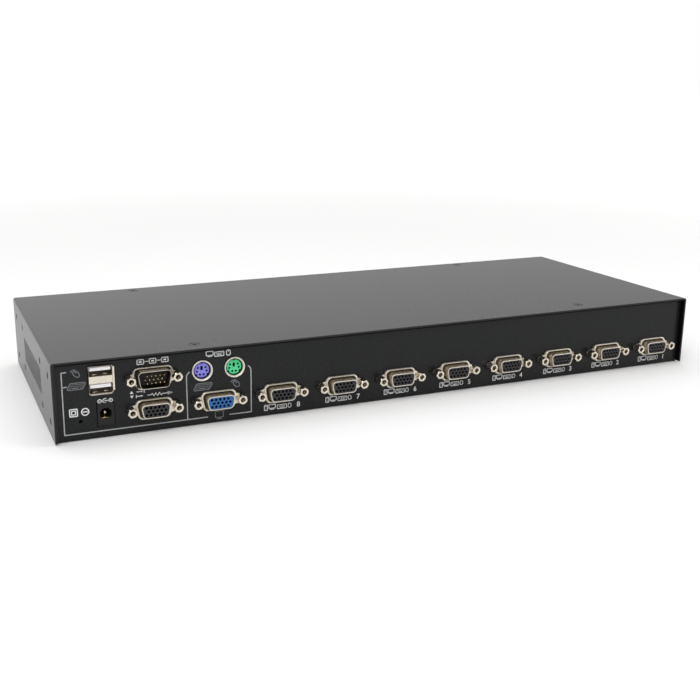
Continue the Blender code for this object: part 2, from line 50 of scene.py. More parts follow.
# ------------------------------------------------------------------ camera
cam_data = bpy.data.cameras.new("camera")
cam = bpy.data.objects.new("camera", cam_data)
collection.objects.link(cam)
cam_data.sensor_width = 36.0
cam_data.lens = 51.671
cam_data.shift_x = 0.020
cam_data.shift_y = -0.010
cam_data.clip_start, cam_data.clip_end = 0.01, 50.0
right = Vector((-0.917704, 0.397210, 0.006579))
up = Vector((-0.098764, -0.244161, 0.964692))
back = Vector((0.384791, 0.884652, 0.263298))
cam.matrix_world = Matrix((
    (right.x, up.x, back.x, 0.26707),
    (right.y, up.y, back.y, 0.58595),
    (right.z, up.z, back.z, 0.18952),
    (0, 0, 0, 1)))
scene.camera = cam

# ------------------------------------------------------------------ places, from the CAD, in millimetres


def mm(node):
    lo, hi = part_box(node)
    return lo * 1000.0, hi * 1000.0


def middle(node):
    lo, hi = mm(node)
    return (lo + hi) / 2


cover_lo, cover_hi = mm("top_cover")
base_lo, base_hi = mm("base_chassis")
bezel_lo, bezel_hi = mm("front_bezel")
HALF = cover_hi.x
TOP = cover_hi.z
LOW = cover_lo.z
COVER_T = 1.1
PANEL = base_hi.y          # outer face of the rear panel
FRONT = base_lo.y          # outer face of the front wall
BASE_X = base_hi.x
BASE_TOP = base_hi.z
VENT_Y0, VENT_Y1, VENT_Z0, VENT_Z1 = -34.2, 38.2, 15.0, 30.3
EAR_Y = (69.0, 39.0, -39.4, -69.4)
EAR_Z = (9.5, 34.9)
JACK = 12.495
buttons = ["port_button_%d" % k for k in range(1, 9)]
button_x = [middle(b).x for b in buttons]
BUTTON_Z = middle(buttons[0]).z
lamp_lo, lamp_hi = mm("lamp_bar")
LAMP_Z = (lamp_lo.z + lamp_hi.z) / 2
POWER_X = lamp_hi.x - 6.0
window_lo, window_hi = mm("display_window")
females = ["computer_port_%d" % k for k in range(1, 9)] + ["console_video", "cascade_out"]


# ------------------------------------------------------------------ outline helpers
def circle(r, n, cx=0.0, cz=0.0, start=0.0):
    return [(cx + r * math.cos(start + 2 * math.pi * i / n), cz + r * math.sin(start + 2 * math.pi * i / n)) for i in range(n)]


def rect(w, h, cx=0.0, cz=0.0):
    return [(cx - w / 2, cz - h / 2), (cx + w / 2, cz - h / 2), (cx + w / 2, cz + h / 2), (cx - w / 2, cz + h / 2)]


def rounded(poly, r, n=4):
    out = []
    for i, p in enumerate(poly):
        a, b = poly[i - 1], poly[(i + 1) % len(poly)]
        ua, ub = (a[0] - p[0], a[1] - p[1]), (b[0] - p[0], b[1] - p[1])
        la, lb = math.hypot(*ua), math.hypot(*ub)
        ua, ub = (ua[0] / la, ua[1] / la), (ub[0] / lb, ub[1] / lb)
        half = math.acos(max(-1.0, min(1.0, ua[0] * ub[0] + ua[1] * ub[1]))) / 2
        d = r / math.tan(half)
        bis = (ua[0] + ub[0], ua[1] + ub[1])
        lb2 = math.hypot(*bis)
        c = (p[0] + bis[0] / lb2 * r / math.sin(half), p[1] + bis[1] / lb2 * r / math.sin(half))
        s, e = (p[0] + ua[0] * d, p[1] + ua[1] * d), (p[0] + ub[0] * d, p[1] + ub[1] * d)
        t0, t1 = math.atan2(s[1] - c[1], s[0] - c[0]), math.atan2(e[1] - c[1], e[0] - c[0])
        while t1 - t0 > math.pi:
            t1 -= 2 * math.pi
        while t1 - t0 < -math.pi:
            t1 += 2 * math.pi
        for k in range(n + 1):
            t = t0 + (t1 - t0) * k / n
            out.append((c[0] + r * math.cos(t), c[1] + r * math.sin(t)))
    return out


def d_outline(width, height, r, n=7, slope=10.0):
    inset = height * math.tan(math.radians(slope))
    return rounded([(-width / 2 + inset, -height / 2), (width / 2 - inset, -height / 2), (width / 2, height / 2), (-width / 2, height / 2)], r, n)


def place(p, q, a, axis):
    return {"Y": (p, a, q), "Z": (p, q, a), "X": (a, p, q)}[axis]


def prism(bm, poly, a0, a1, axis="Y", at=(0.0, 0.0, 0.0)):
    low = [bm.verts.new([c + o for c, o in zip(place(p, q, a0, axis), at)]) for p, q in poly]
    high = [bm.verts.new([c + o for c, o in zip(place(p, q, a1, axis), at)]) for p, q in poly]
    faces = [bm.faces.new(low), bm.faces.new(list(reversed(high)))]
    for i in range(len(poly)):
        j = (i + 1) % len(poly)
        faces.append(bm.faces.new((low[j], low[i], high[i], high[j])))
    bmesh.ops.recalc_face_normals(bm, faces=faces)
    return faces


def loft(bm, rings, axis="Y", at=(0.0, 0.0, 0.0), closed=False):
    """rings is a list of (outline, place along the axis), all outlines with the same number of points.
    closed joins the last ring to the first; otherwise both ends are capped."""
    rows = [[bm.verts.new([c + o for c, o in zip(place(p, q, a, axis), at)]) for p, q in poly] for poly, a in rings]
    n = len(rows[0])
    faces = []
    pairs = list(zip(rows, rows[1:])) + ([(rows[-1], rows[0])] if closed else [])
    for one, two in pairs:
        for i in range(n):
            j = (i + 1) % n
            faces.append(bm.faces.new((one[j], one[i], two[i], two[j])))
    if not closed:
        faces += [bm.faces.new(rows[0]), bm.faces.new(list(reversed(rows[-1])))]
    bmesh.ops.recalc_face_normals(bm, faces=faces)
    return faces


def box(bm, x0, x1, y0, y1, z0, z1):
    prism(bm, [(x0, z0), (x1, z0), (x1, z1), (x0, z1)], y0, y1, "Y")


def raw(name, bm):
    """An unlinked-to-body object from a bmesh in millimetres."""
    bmesh.ops.scale(bm, vec=(0.001, 0.001, 0.001), verts=bm.verts)
    me = bpy.data.meshes.new(name)
    bm.to_mesh(me)
    bm.free()
    o = bpy.data.objects.new(name, me)
    collection.objects.link(o)
    return o


def apply_all(o):
    bpy.context.view_layer.update()
    dg = bpy.context.evaluated_depsgraph_get()
    me = bpy.data.meshes.new_from_object(o.evaluated_get(dg))
    o.modifiers.clear()
    o.data = me
    return o


def cut(o, bm, op="DIFFERENCE"):
    tool = raw("tool", bm)
    m = o.modifiers.new("b", "BOOLEAN")
    m.operation, m.solver, m.object = op, "EXACT", tool
    apply_all(o)
    bpy.data.objects.remove(tool, do_unlink=True)
    return o


def tidy(o, angle=0.5):
    """Merges the flat facets that a Boolean leaves, so that bevels run clean."""
    bm = bmesh.new()
    bm.from_mesh(o.data)
    bmesh.ops.remove_doubles(bm, verts=bm.verts, dist=1e-7)
    bmesh.ops.dissolve_limit(bm, angle_limit=math.radians(angle), verts=bm.verts, edges=bm.edges)
    bm.to_mesh(o.data)
    bm.free()
    return o


def finish_edges(o, width=0.12, segments=2, limit=32, smooth=38):
    """Rounds the hard edges and gives smooth shading that keeps flat faces flat."""
    if width:
        b = o.modifiers.new("bevel", "BEVEL")
        b.width, b.segments, b.limit_method, b.angle_limit = width * 0.001, segments, "ANGLE", math.radians(limit)
        b.miter_outer = "MITER_ARC"
        b.use_clamp_overlap = True
        apply_all(o)
    o.data.shade_smooth()
    o.data.set_sharp_from_angle(angle=math.radians(smooth))
    w = o.modifiers.new("weighted", "WEIGHTED_NORMAL")
    w.keep_sharp = True
    w.weight = 60
    return o


def dress(o, mat, body=ROOT, node=None):
    o.data.materials.clear()
    o.data.materials.append(mat)
    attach(o, body)
    if node:
        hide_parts(*([node] if isinstance(node, str) else node))
    return o


def copy_at(src, name, x, y, z):
    o = bpy.data.objects.new(name, src.data)
    for m in src.modifiers:
        if m.type == "WEIGHTED_NORMAL":
            w = o.modifiers.new("weighted", "WEIGHTED_NORMAL")
            w.keep_sharp, w.weight = m.keep_sharp, m.weight
    o.location = (x * 0.001, y * 0.001, z * 0.001)
    collection.objects.link(o)
    return o


# ------------------------------------------------------------------ materials
def surface(name, rgb, rough, metal=0.0, var=0.05, rough_var=0.04, grain=2600.0, bump=0.12, depth=0.00002, blotch=35.0, tint=None,
            spec=0.5, coat=0.0, coat_rough=0.1, stretch=None, emission=None, transmission=0.0, alpha=1.0, detail=3.0, ior=1.5, depth_shade=None, bore=None):
    """A Principled surface with fine grain, slow blotches of tone, and a roughness that varies with them."""
    m = bpy.data.materials.new(name)
    m.use_nodes = True
    nt = m.node_tree
    b = nt.nodes["Principled BSDF"]
    b.inputs["Metallic"].default_value = metal
    b.inputs["Specular IOR Level"].default_value = spec
    b.inputs["IOR"].default_value = ior
    b.inputs["Coat Weight"].default_value = coat
    b.inputs["Coat Roughness"].default_value = coat_rough
    b.inputs["Transmission Weight"].default_value = transmission
    b.inputs["Alpha"].default_value = alpha
    if emission:
        b.inputs["Emission Color"].default_value = (*emission[0], 1)
        b.inputs["Emission Strength"].default_value = emission[1]
    tc = nt.nodes.new("ShaderNodeTexCoord")
    mp = nt.nodes.new("ShaderNodeMapping")
    nt.links.new(tc.outputs["Object"], mp.inputs["Vector"])
    if stretch:
        mp.inputs["Scale"].default_value = stretch
    slow = nt.nodes.new("ShaderNodeTexNoise")
    slow.inputs["Scale"].default_value = blotch
    slow.inputs["Detail"].default_value = 4.0
    nt.links.new(tc.outputs["Object"], slow.inputs["Vector"])
    fine = nt.nodes.new("ShaderNodeTexNoise")
    fine.inputs["Scale"].default_value = grain
    fine.inputs["Detail"].default_value = detail
    nt.links.new(mp.outputs["Vector"], fine.inputs["Vector"])
    mix = nt.nodes.new("ShaderNodeMix")
    mix.data_type = "RGBA"
    dark = tuple(max(0.0, c * (1 - var)) for c in rgb)
    light = tuple(min(1.0, c * (1 + var)) for c in (tint or rgb))
    mix.inputs["A"].default_value = (*dark, 1)
    mix.inputs["B"].default_value = (*light, 1)
    nt.links.new(slow.outputs["Fac"], mix.inputs["Factor"])
    colour = mix.outputs["Result"]
    if depth_shade:
        # painted shade: the colour darkens, and turns browner, below a depth along the piece's own Y, towards the panel
        # and into its holes: (from, to) along its own Y in metres, and the share of tone left
        low, high, share = depth_shade
        axis = nt.nodes.new("ShaderNodeSeparateXYZ")
        nt.links.new(tc.outputs["Object"], axis.inputs["Vector"])
        rise = nt.nodes.new("ShaderNodeMapRange")
        rise.interpolation_type = "SMOOTHSTEP"
        rise.inputs["From Min"].default_value, rise.inputs["From Max"].default_value = low, high
        rise.inputs["To Min"].default_value, rise.inputs["To Max"].default_value = 0.0, 1.0
        nt.links.new(axis.outputs["Y"], rise.inputs["Value"])
        depth_shade_mix = nt.nodes.new("ShaderNodeMix")
        depth_shade_mix.data_type = "RGBA"
        depth_shade_mix.inputs["A"].default_value = (rgb[0] * share, rgb[1] * share * 0.90, rgb[2] * share * 0.72, 1)
        nt.links.new(rise.outputs["Result"], depth_shade_mix.inputs["Factor"])
        nt.links.new(colour, depth_shade_mix.inputs["B"])
        colour = depth_shade_mix.outputs["Result"]
    if bore:
        # painted shade: darker and browner inside a bore round the piece's own Y axis: (inner radius, outer radius) in
        # metres, and the share of tone left
        low, high, share = bore
        flat = nt.nodes.new("ShaderNodeVectorMath")
        flat.operation = "MULTIPLY"
        flat.inputs[1].default_value = (1.0, 0.0, 1.0)
        nt.links.new(tc.outputs["Object"], flat.inputs[0])
        reach = nt.nodes.new("ShaderNodeVectorMath")
        reach.operation = "LENGTH"
        nt.links.new(flat.outputs["Vector"], reach.inputs[0])
        step = nt.nodes.new("ShaderNodeMapRange")
        step.inputs["From Min"].default_value, step.inputs["From Max"].default_value = low, high
        nt.links.new(reach.outputs["Value"], step.inputs["Value"])
        bore_shade_mix = nt.nodes.new("ShaderNodeMix")
        bore_shade_mix.data_type = "RGBA"
        bore_shade_mix.inputs["A"].default_value = (rgb[0] * share, rgb[1] * share * 0.85, rgb[2] * share * 0.62, 1)
        nt.links.new(step.outputs["Result"], bore_shade_mix.inputs["Factor"])
        nt.links.new(colour, bore_shade_mix.inputs["B"])
        colour = bore_shade_mix.outputs["Result"]
    nt.links.new(colour, b.inputs["Base Color"])
    mr = nt.nodes.new("ShaderNodeMapRange")
    mr.inputs["From Min"].default_value, mr.inputs["From Max"].default_value = 0.3, 0.7
    mr.inputs["To Min"].default_value, mr.inputs["To Max"].default_value = max(0.02, rough - rough_var), min(1.0, rough + rough_var)
    nt.links.new(fine.outputs["Fac"], mr.inputs["Value"])
    nt.links.new(mr.outputs["Result"], b.inputs["Roughness"])
    bp = nt.nodes.new("ShaderNodeBump")
    bp.inputs["Strength"].default_value = bump
    bp.inputs["Distance"].default_value = depth
    nt.links.new(fine.outputs["Fac"], bp.inputs["Height"])
    nt.links.new(bp.outputs["Normal"], b.inputs["Normal"])
    return m


paint = surface("powder_coat", (0.0072, 0.0076, 0.0078), 0.27, var=0.08, rough_var=0.035, grain=2300, bump=0.12, depth=0.00002, blotch=14, spec=0.33)
nickel = surface("nickel_plate", (0.70, 0.64, 0.54), 0.30, metal=1.0, var=0.05, rough_var=0.02, grain=900, bump=0.02, depth=0.00001, blotch=200, tint=(0.75, 0.69, 0.60))
base_paint = surface("powder_coat_base", (0.0062, 0.0070, 0.0072), 0.28, var=0.08, rough_var=0.035, grain=2300, bump=0.12, depth=0.00002, blotch=14, spec=0.24)
# painted shade: a near-black matte copy of the powder coat, for the cover's inner faces
inner_shade_paint = surface("powder_coat_inside_painted_shade", (0.0028, 0.0028, 0.0030), 0.62, var=0.10, grain=2300, bump=0.12, depth=0.00002, blotch=14, spec=0.06)
# painted shade: this nickel darkens where the ring meets the panel
ring_nickel = surface("nickel_ring", (0.80, 0.75, 0.67), 0.46, metal=0.45, var=0.04, rough_var=0.03, grain=900, bump=0.02, depth=0.00001, blotch=200, depth_shade=(0.00022, 0.00046, 0.05))
# painted shade: this nickel is darker and browner inside the jackscrew's tapped bore
jack_nickel = surface("nickel_jackscrew", (0.70, 0.65, 0.55), 0.25, metal=1.0, var=0.08, rough_var=0.04, grain=1200, bump=0.03, depth=0.00001, blotch=400, tint=(0.74, 0.68, 0.58), bore=(0.00130, 0.00142, 0.22))
shell_nickel = surface("nickel_shell", (0.76, 0.70, 0.60), 0.36, metal=0.80, var=0.06, rough_var=0.02, grain=900, bump=0.02, depth=0.00001, blotch=200, tint=(0.80, 0.75, 0.67))
# painted shade: a darker, browner copy of the shell nickel for the tube's sides
side_shade_nickel = surface("nickel_drawn_side_painted_shade", (0.50, 0.43, 0.31), 0.28, metal=0.85, var=0.08, rough_var=0.02, grain=900, bump=0.02, depth=0.00001, blotch=200)
# painted shade: a near-black copy of the nickel for the groove floor and the hollow inside
groove_shade_nickel = surface("nickel_groove_painted_shade", (0.045, 0.035, 0.022), 0.50, metal=0.5, var=0.10, grain=900, bump=0.02, depth=0.00001, blotch=200)
gold = surface("gold_contact", (0.88, 0.69, 0.38), 0.24, metal=1.0, var=0.06, grain=3000, bump=0.05, depth=0.00001)
# painted shade: the grey insert darkens behind its front face, down its contact holes and sides
grey_ins = surface("insert_grey", (0.027, 0.026, 0.029), 0.52, spec=0.34, var=0.10, grain=3600, bump=0.15, depth=0.00001, blotch=120, depth_shade=(0.00572, 0.00584, 0.10))
black_ins = surface("insert_black", (0.014, 0.012, 0.011), 0.55, var=0.10, grain=3600, bump=0.15, depth=0.00001, blotch=120)
# painted shade: the blue insert darkens behind its front face, down its contact holes and sides
blue_ins = surface("insert_blue", (0.022, 0.118, 0.35), 0.50, spec=0.34, var=0.10, grain=3600, bump=0.15, depth=0.00001, blotch=120, depth_shade=(0.00572, 0.00584, 0.08))
# painted shade: the cores darken below their face, down their pin holes and sides
purple = surface("core_purple", (0.215, 0.205, 0.69), 0.45, var=0.08, grain=3600, bump=0.15, depth=0.00001, blotch=120, depth_shade=(-0.00072, -0.00060, 0.05))
green = surface("core_green", (0.060, 0.62, 0.25), 0.45, var=0.08, grain=3600, bump=0.15, depth=0.00001, blotch=120, depth_shade=(-0.00072, -0.00060, 0.05))
cream = surface("tongue_cream", (0.82, 0.81, 0.84), 0.45, var=0.04, grain=3600, bump=0.10, depth=0.00001, blotch=120)
housing = surface("housing_black", (0.0075, 0.0075, 0.0078), 0.46, spec=0.32, var=0.10, grain=3000, bump=0.25, depth=0.00002, blotch=90)
bezel_mat = surface("bezel_plastic", (0.022, 0.0225, 0.0235), 0.46, var=0.08, grain=2000, bump=0.35, depth=0.00003, blotch=20)
button_mat = surface("button_plastic", (0.24, 0.245, 0.255), 0.42, var=0.05, grain=3200, bump=0.15, depth=0.00001, blotch=80)
ink = surface("ink_pale", (0.40, 0.41, 0.42), 0.60, var=0.06, grain=5000, bump=0.10, depth=0.000005, blotch=300)
ink_white = surface("ink_white", (0.70, 0.71, 0.72), 0.60, var=0.05, grain=5000, bump=0.10, depth=0.000005, blotch=300)
ink_grey = surface("ink_grey", (0.155, 0.165, 0.18), 0.60, var=0.10, grain=5000, bump=0.10, depth=0.000005, blotch=300)
screw_mat = surface("screw_black_zinc", (0.050, 0.050, 0.052), 0.34, metal=0.8, var=0.10, grain=1800, bump=0.15, depth=0.00002, blotch=200)
pcb = surface("solder_mask", (0.012, 0.085, 0.035), 0.35, var=0.20, grain=900, bump=0.15, depth=0.00002, blotch=60, coat=0.4)
chip_mat = surface("chip_epoxy", (0.02, 0.02, 0.021), 0.55, var=0.10, grain=4000, bump=0.3, depth=0.00001)
alu = surface("extruded_aluminium", (0.62, 0.63, 0.65), 0.34, metal=1.0, var=0.05, grain=1500, bump=0.15, depth=0.00002, stretch=(1, 1, 0.05))
can = surface("capacitor_sleeve", (0.03, 0.035, 0.09), 0.30, var=0.10)
ribbon_mat = surface("ribbon_grey", (0.30, 0.31, 0.33), 0.50, var=0.08, grain=1500, bump=0.3, depth=0.00004, stretch=(0.6, 0.02, 0.02))
window_mat = surface("smoked_window", (0.045, 0.006, 0.007), 0.08, var=0.05, rough_var=0.02, grain=400, bump=0.02, depth=0.00001, coat=0.5, coat_rough=0.05)
digit_off = surface("digit_unlit", (0.085, 0.012, 0.012), 0.20, var=0.05, rough_var=0.02, grain=2000, bump=0.05, depth=0.00001)
digit_on = surface("digit_lit", (0.75, 0.05, 0.03), 0.30, var=0.05, grain=2000, bump=0.05, depth=0.00001, emission=((1.0, 0.07, 0.03), 1.6))
lamp_mat = surface("lamp_lens_green", (0.12, 0.42, 0.15), 0.22, var=0.06, rough_var=0.03, grain=1500, bump=0.05, depth=0.00001)
lamp_lit = surface("lamp_lens_lit", (0.25, 0.80, 0.30), 0.22, var=0.05, rough_var=0.03, grain=1500, bump=0.05, depth=0.00001, emission=((0.2, 1.0, 0.3), 1.0))

# ------------------------------------------------------------------ top cover
bm = bmesh.new()
R = 1.6
outer, inner = [], []
for k in range(11):
    t = math.radians(9.0 * k)
    outer.append((HALF - R + R * math.cos(t), TOP - R + R * math.sin(t)))
    inner.append((HALF - R + (R - COVER_T) * math.cos(t), TOP - R + (R - COVER_T) * math.sin(t)))
outline = [(HALF, LOW)] + outer + [(-x, z) for x, z in reversed(outer)] + [(-HALF, LOW), (-HALF + COVER_T, LOW)]
outline += [(-x, z) for x, z in inner] + list(reversed(inner)) + [(HALF - COVER_T, LOW)]
prism(bm, outline, cover_lo.y, cover_hi.y)
cover = raw("cover_sheet", bm)
bm = bmesh.new()
SLOTS, SLOT_W = 24, 1.4
pitch = (VENT_Y1 - VENT_Y0) / SLOTS
for side in (-1, 1):
    a0, a1 = sorted((side * (HALF - 3), side * (HALF + 3)))
    for k in range(SLOTS):
        y = VENT_Y0 + pitch * (k + 0.5)
        prism(bm, rounded(rect(SLOT_W, VENT_Z1 - VENT_Z0, y, (VENT_Z0 + VENT_Z1) / 2), SLOT_W / 2 - 0.02, 4), a0, a1, "X")
    for y in EAR_Y:
        for z in EAR_Z:
            prism(bm, circle(2.05, 28, y, z), a0, a1, "X")
screw_sites = [middle(n) for n in ("cover_screw_rear_left", "cover_screw_rear_right", "cover_screw_front_left", "cover_screw_front_right")]
for s in screw_sites:
    loft(bm, [(circle(1.7, 32), TOP - 3), (circle(1.7, 32), TOP - 1.5), (circle(4.2, 32), TOP + 1.0)], "Z", (s.x, s.y, 0))
cut(cover, bm)
tidy(cover)
finish_edges(cover, 0.13, 2)
dress(cover, paint, node="top_cover")
# painted shade: the cover's inner faces, the flanges and the underside of the top, take a near-black matte copy of the
# paint
cover.data.materials.append(inner_shade_paint)
for f in cover.data.polygons:
    c = f.center * 1000.0
    if (abs(f.normal.x) > 0.7 and abs(c.x) < HALF - COVER_T + 0.05 and f.normal.x * c.x < 0) or (f.normal.z < -0.7 and c.z > TOP - COVER_T - 0.05):
        f.material_index = 1

# ------------------------------------------------------------------ base chassis: folded sheet with rear panel and front wall, and two side walls
bm = bmesh.new()
T = 1.0


def arc(cy, cz, r, a0, a1, n=6):
    return [(cy + r * math.cos(math.radians(a0 + (a1 - a0) * k / n)), cz + r * math.sin(math.radians(a0 + (a1 - a0) * k / n))) for k in range(n + 1)]


ro, ri = 1.5, 0.5
LIP = 12.5
out = arc(FRONT + ro, ro, ro, 180, 270) + arc(PANEL - ro, ro, ro, 270, 360) + arc(PANEL - ro, BASE_TOP - ro, ro, 0, 90)
out += [(PANEL - LIP, BASE_TOP), (PANEL - LIP, BASE_TOP - T)] + arc(PANEL - ro, BASE_TOP - ro, ri, 90, 0) + arc(PANEL - ro, ro, ri, 360, 270)
out += arc(FRONT + ro, ro, ri, 270, 180) + arc(FRONT + ro, BASE_TOP - ro, ri, 180, 90) + [(FRONT + LIP, BASE_TOP - T), (FRONT + LIP, BASE_TOP)]
out += arc(FRONT + ro, BASE_TOP - ro, ro, 90, 180)
prism(bm, out, -BASE_X + T + 0.06, BASE_X - T - 0.06, "X")
base = raw("base_sheet", bm)
bm = bmesh.new()
for n in females + ["cascade_in"]:
    c = middle(n + "_insert")
    big = n == "cascade_in"
    zc = middle(n + "_shell").z
    prism(bm, d_outline(19.4 if big else 17.4, 10.4 if big else 9.0, 2.4), PANEL - 3, PANEL + 3, "Y", (c.x, 0, zc))
    for s in (-1, 1):
        prism(bm, circle(1.7, 20, s * JACK, 0), PANEL - 3, PANEL + 3, "Y", (c.x, 0, zc))
din = {n: middle(n + "_shield") for n in ("keyboard_socket", "mouse_socket")}
for c in din.values():
    prism(bm, circle(5.65, 40), PANEL - 3, PANEL + 3, "Y", (c.x, 0, c.z))
usb_c = middle("usb_shell")
dc_c = middle("power_inlet_body")
prism(bm, rounded(rect(13.3, 15.9, usb_c.x, usb_c.z), 0.4, 3), PANEL - 3, PANEL + 3)
prism(bm, rounded(rect(9.5, 12.9, dc_c.x, dc_c.z), 0.3, 3), PANEL - 3, PANEL + 3)
prism(bm, circle(0.95, 24, 191.5, 10.7), PANEL - 3, PANEL + 3)
for x in button_x:
    prism(bm, rect(15.2, 10.2, x, BUTTON_Z), FRONT - 3, FRONT + 3)
for x in button_x + [POWER_X]:
    prism(bm, rect(5.0, 3.0, x, LAMP_Z), FRONT - 3, FRONT + 3)
prism(bm, rect(28, 13, (window_lo.x + window_hi.x) / 2, (window_lo.z + window_hi.z) / 2), FRONT - 3, FRONT + 3)
for s in screw_sites:
    prism(bm, circle(1.75, 20, s.x, s.y), BASE_TOP - 3, BASE_TOP + 3, "Z")
for x in (-185.0, -70.0, 70.0, 185.0):
    for y in (-50.0, 60.0):
        loft(bm, [(circle(2.9, 32), -1.0), (circle(2.9, 32), 0.10), (circle(2.6, 32), 0.18)], "Z", (x, y, 0))
cut(base, bm)
tidy(base)
finish_edges(base, 0.10, 2)
dress(base, base_paint, node="base_chassis")

for side, label in ((1, "left"), (-1, "right")):
    a0, a1 = sorted((side * (BASE_X - T), side * BASE_X))
    bm = bmesh.new()
    prism(bm, rounded([(FRONT, 0.0), (PANEL, 0.0), (PANEL, BASE_TOP), (FRONT, BASE_TOP)], 0.8, 4), a0, a1, "X")
    wall = raw("base_side_" + label, bm)
    bm = bmesh.new()
    prism(bm, rounded(rect(VENT_Y1 - VENT_Y0 + 2, VENT_Z1 - VENT_Z0 + 2, (VENT_Y0 + VENT_Y1) / 2, (VENT_Z0 + VENT_Z1) / 2), 1.5, 4), a0 - 2, a1 + 2, "X")
    for y in EAR_Y:
        for z in EAR_Z:
            prism(bm, circle(1.65, 24, y, z), a0 - 2, a1 + 2, "X")
    cut(wall, bm)
    tidy(wall)
    finish_edges(wall, 0.12, 2)
    dress(wall, paint)

# pressed-in board stand-offs, seen as rings from below
bm = bmesh.new()
for x in (-185.0, -70.0, 70.0, 185.0):
    for y in (-50.0, 60.0):
        loft(bm, [(circle(1.35, 32), 4.2), (circle(1.35, 32), 0.3), (circle(1.6, 32), 0.04), (circle(2.5, 32), 0.02), (circle(2.72, 32), 0.10), (circle(2.72, 32), 4.5), (circle(2.55, 32), 4.65), (circle(1.6, 32), 4.65)], "Z", (x, y, 0), closed=True)
stand = raw("board_standoffs", bm)
finish_edges(stand, 0, smooth=30)
dress(stand, alu)

# ------------------------------------------------------------------ cover screws
bm = bmesh.new()
hz = TOP
loft(bm, [(circle(2.45, 40), hz - 0.05), (circle(2.72, 40), hz - 0.12), (circle(2.75, 40), hz - 0.25), (circle(1.6, 40), hz - 1.4), (circle(1.4, 40), hz - 1.6), (circle(1.4, 40), hz - 6.4)], "Z")
screw = raw("screw_master", bm)
bar = [(1.65, 0.36), (-1.65, 0.36), (-1.65, -0.36), (1.65, -0.36)]
for swap in (False, True):      # cross recess, one bar at a time
    bm = bmesh.new()
    recess = [([(x * k, y * m) for x, y in bar], z) for k, m, z in ((0.45, 0.5, hz - 1.15), (1.0, 1.0, hz - 0.02), (1.02, 1.02, hz + 1.0))]
    loft(bm, [([(-y, x) for x, y in poly] if swap else poly, z) for poly, z in recess], "Z")
    cut(screw, bm)
finish_edges(screw, 0.0, smooth=30)
for n, s in zip(("cover_screw_rear_left", "cover_screw_rear_right", "cover_screw_front_left", "cover_screw_front_right"), screw_sites):
    o = copy_at(screw, n + "_head", s.x, s.y, 0)
    o.rotation_euler = (0, 0, math.radians({"rear_left": 24, "rear_right": 67, "front_left": 41, "front_right": 8}[n[12:]]))
    if not o.data.materials:
        o.data.materials.append(screw_mat)
    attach(o, ROOT)
    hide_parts(n)
bpy.data.objects.remove(screw, do_unlink=True)


# ------------------------------------------------------------------ D-sub connectors
def shell_master(name, tube_w, tube_h, collar_w, collar_h, wall, front=6.2):
    """One drawn shell: collar with a rolled rim, a groove inside it, and the D-shaped tube."""
    D = lambda w, h, r: d_outline(w, h, r, 8)
    bm = bmesh.new()
    rings = [
        (D(collar_w, collar_h, 2.9), 0.30), (D(collar_w, collar_h, 2.9), 1.25), (D(collar_w - 0.12, collar_h - 0.12, 2.85), 1.55),
        (D(collar_w - 0.40, collar_h - 0.40, 2.75), 1.76), (D(collar_w - 0.80, collar_h - 0.75, 2.65), 1.84), (D(tube_w + 2.9, tube_h + 2.2, 2.55), 1.84),
        (D(tube_w + 2.5, tube_h + 1.9, 2.5), 1.76), (D(tube_w + 2.2, tube_h + 1.65, 2.45), 1.52), (D(tube_w + 1.9, tube_h + 1.45, 2.45), 0.95),
        (D(tube_w + 1.7, tube_h + 1.3, 2.4), 0.36), (D(tube_w + 0.35, tube_h + 0.28, 2.35), 0.40), (D(tube_w + 0.05, tube_h + 0.05, 2.3), 0.75),
        (D(tube_w, tube_h, 2.3), 1.7), (D(tube_w, tube_h, 2.3), front - 0.45), (D(tube_w - 0.06, tube_h - 0.06, 2.28), front - 0.22),
        (D(tube_w - 0.26, tube_h - 0.26, 2.2), front - 0.05), (D(tube_w - 0.60, tube_h - 0.60, 2.05), front),
        (D(tube_w - 2 * wall + 0.16, tube_h - 2 * wall + 0.16, 1.85), front - 0.08), (D(tube_w - 2 * wall, tube_h - 2 * wall, 1.8), front - 0.35),
        (D(tube_w - 2 * wall, tube_h - 2 * wall, 1.8), 0.30)]
    loft(bm, rings, closed=True)
    o = raw(name, bm)
    bm = bmesh.new()
    for s in (-1, 1):
        ear = [(s * (JACK + 2.25 * math.cos(math.radians(a))), 2.25 * math.sin(math.radians(a))) for a in range(-80, 81, 10)]
        ear += [(s * (JACK - 1.2), 2.7), (s * 9.6, 3.2), (s * 9.0, 3.2), (s * 9.0, -3.2), (s * 9.6, -3.2), (s * (JACK - 1.2), -2.7)]
        prism(bm, ear, 0.32, 1.12)
    cut(o, bm, "UNION")
    finish_edges(o, 0.0, smooth=34)
    return o


def hex_radius(t, apothem):
    return apothem / math.cos((t + math.pi / 6) % (math.pi / 3) - math.pi / 6)


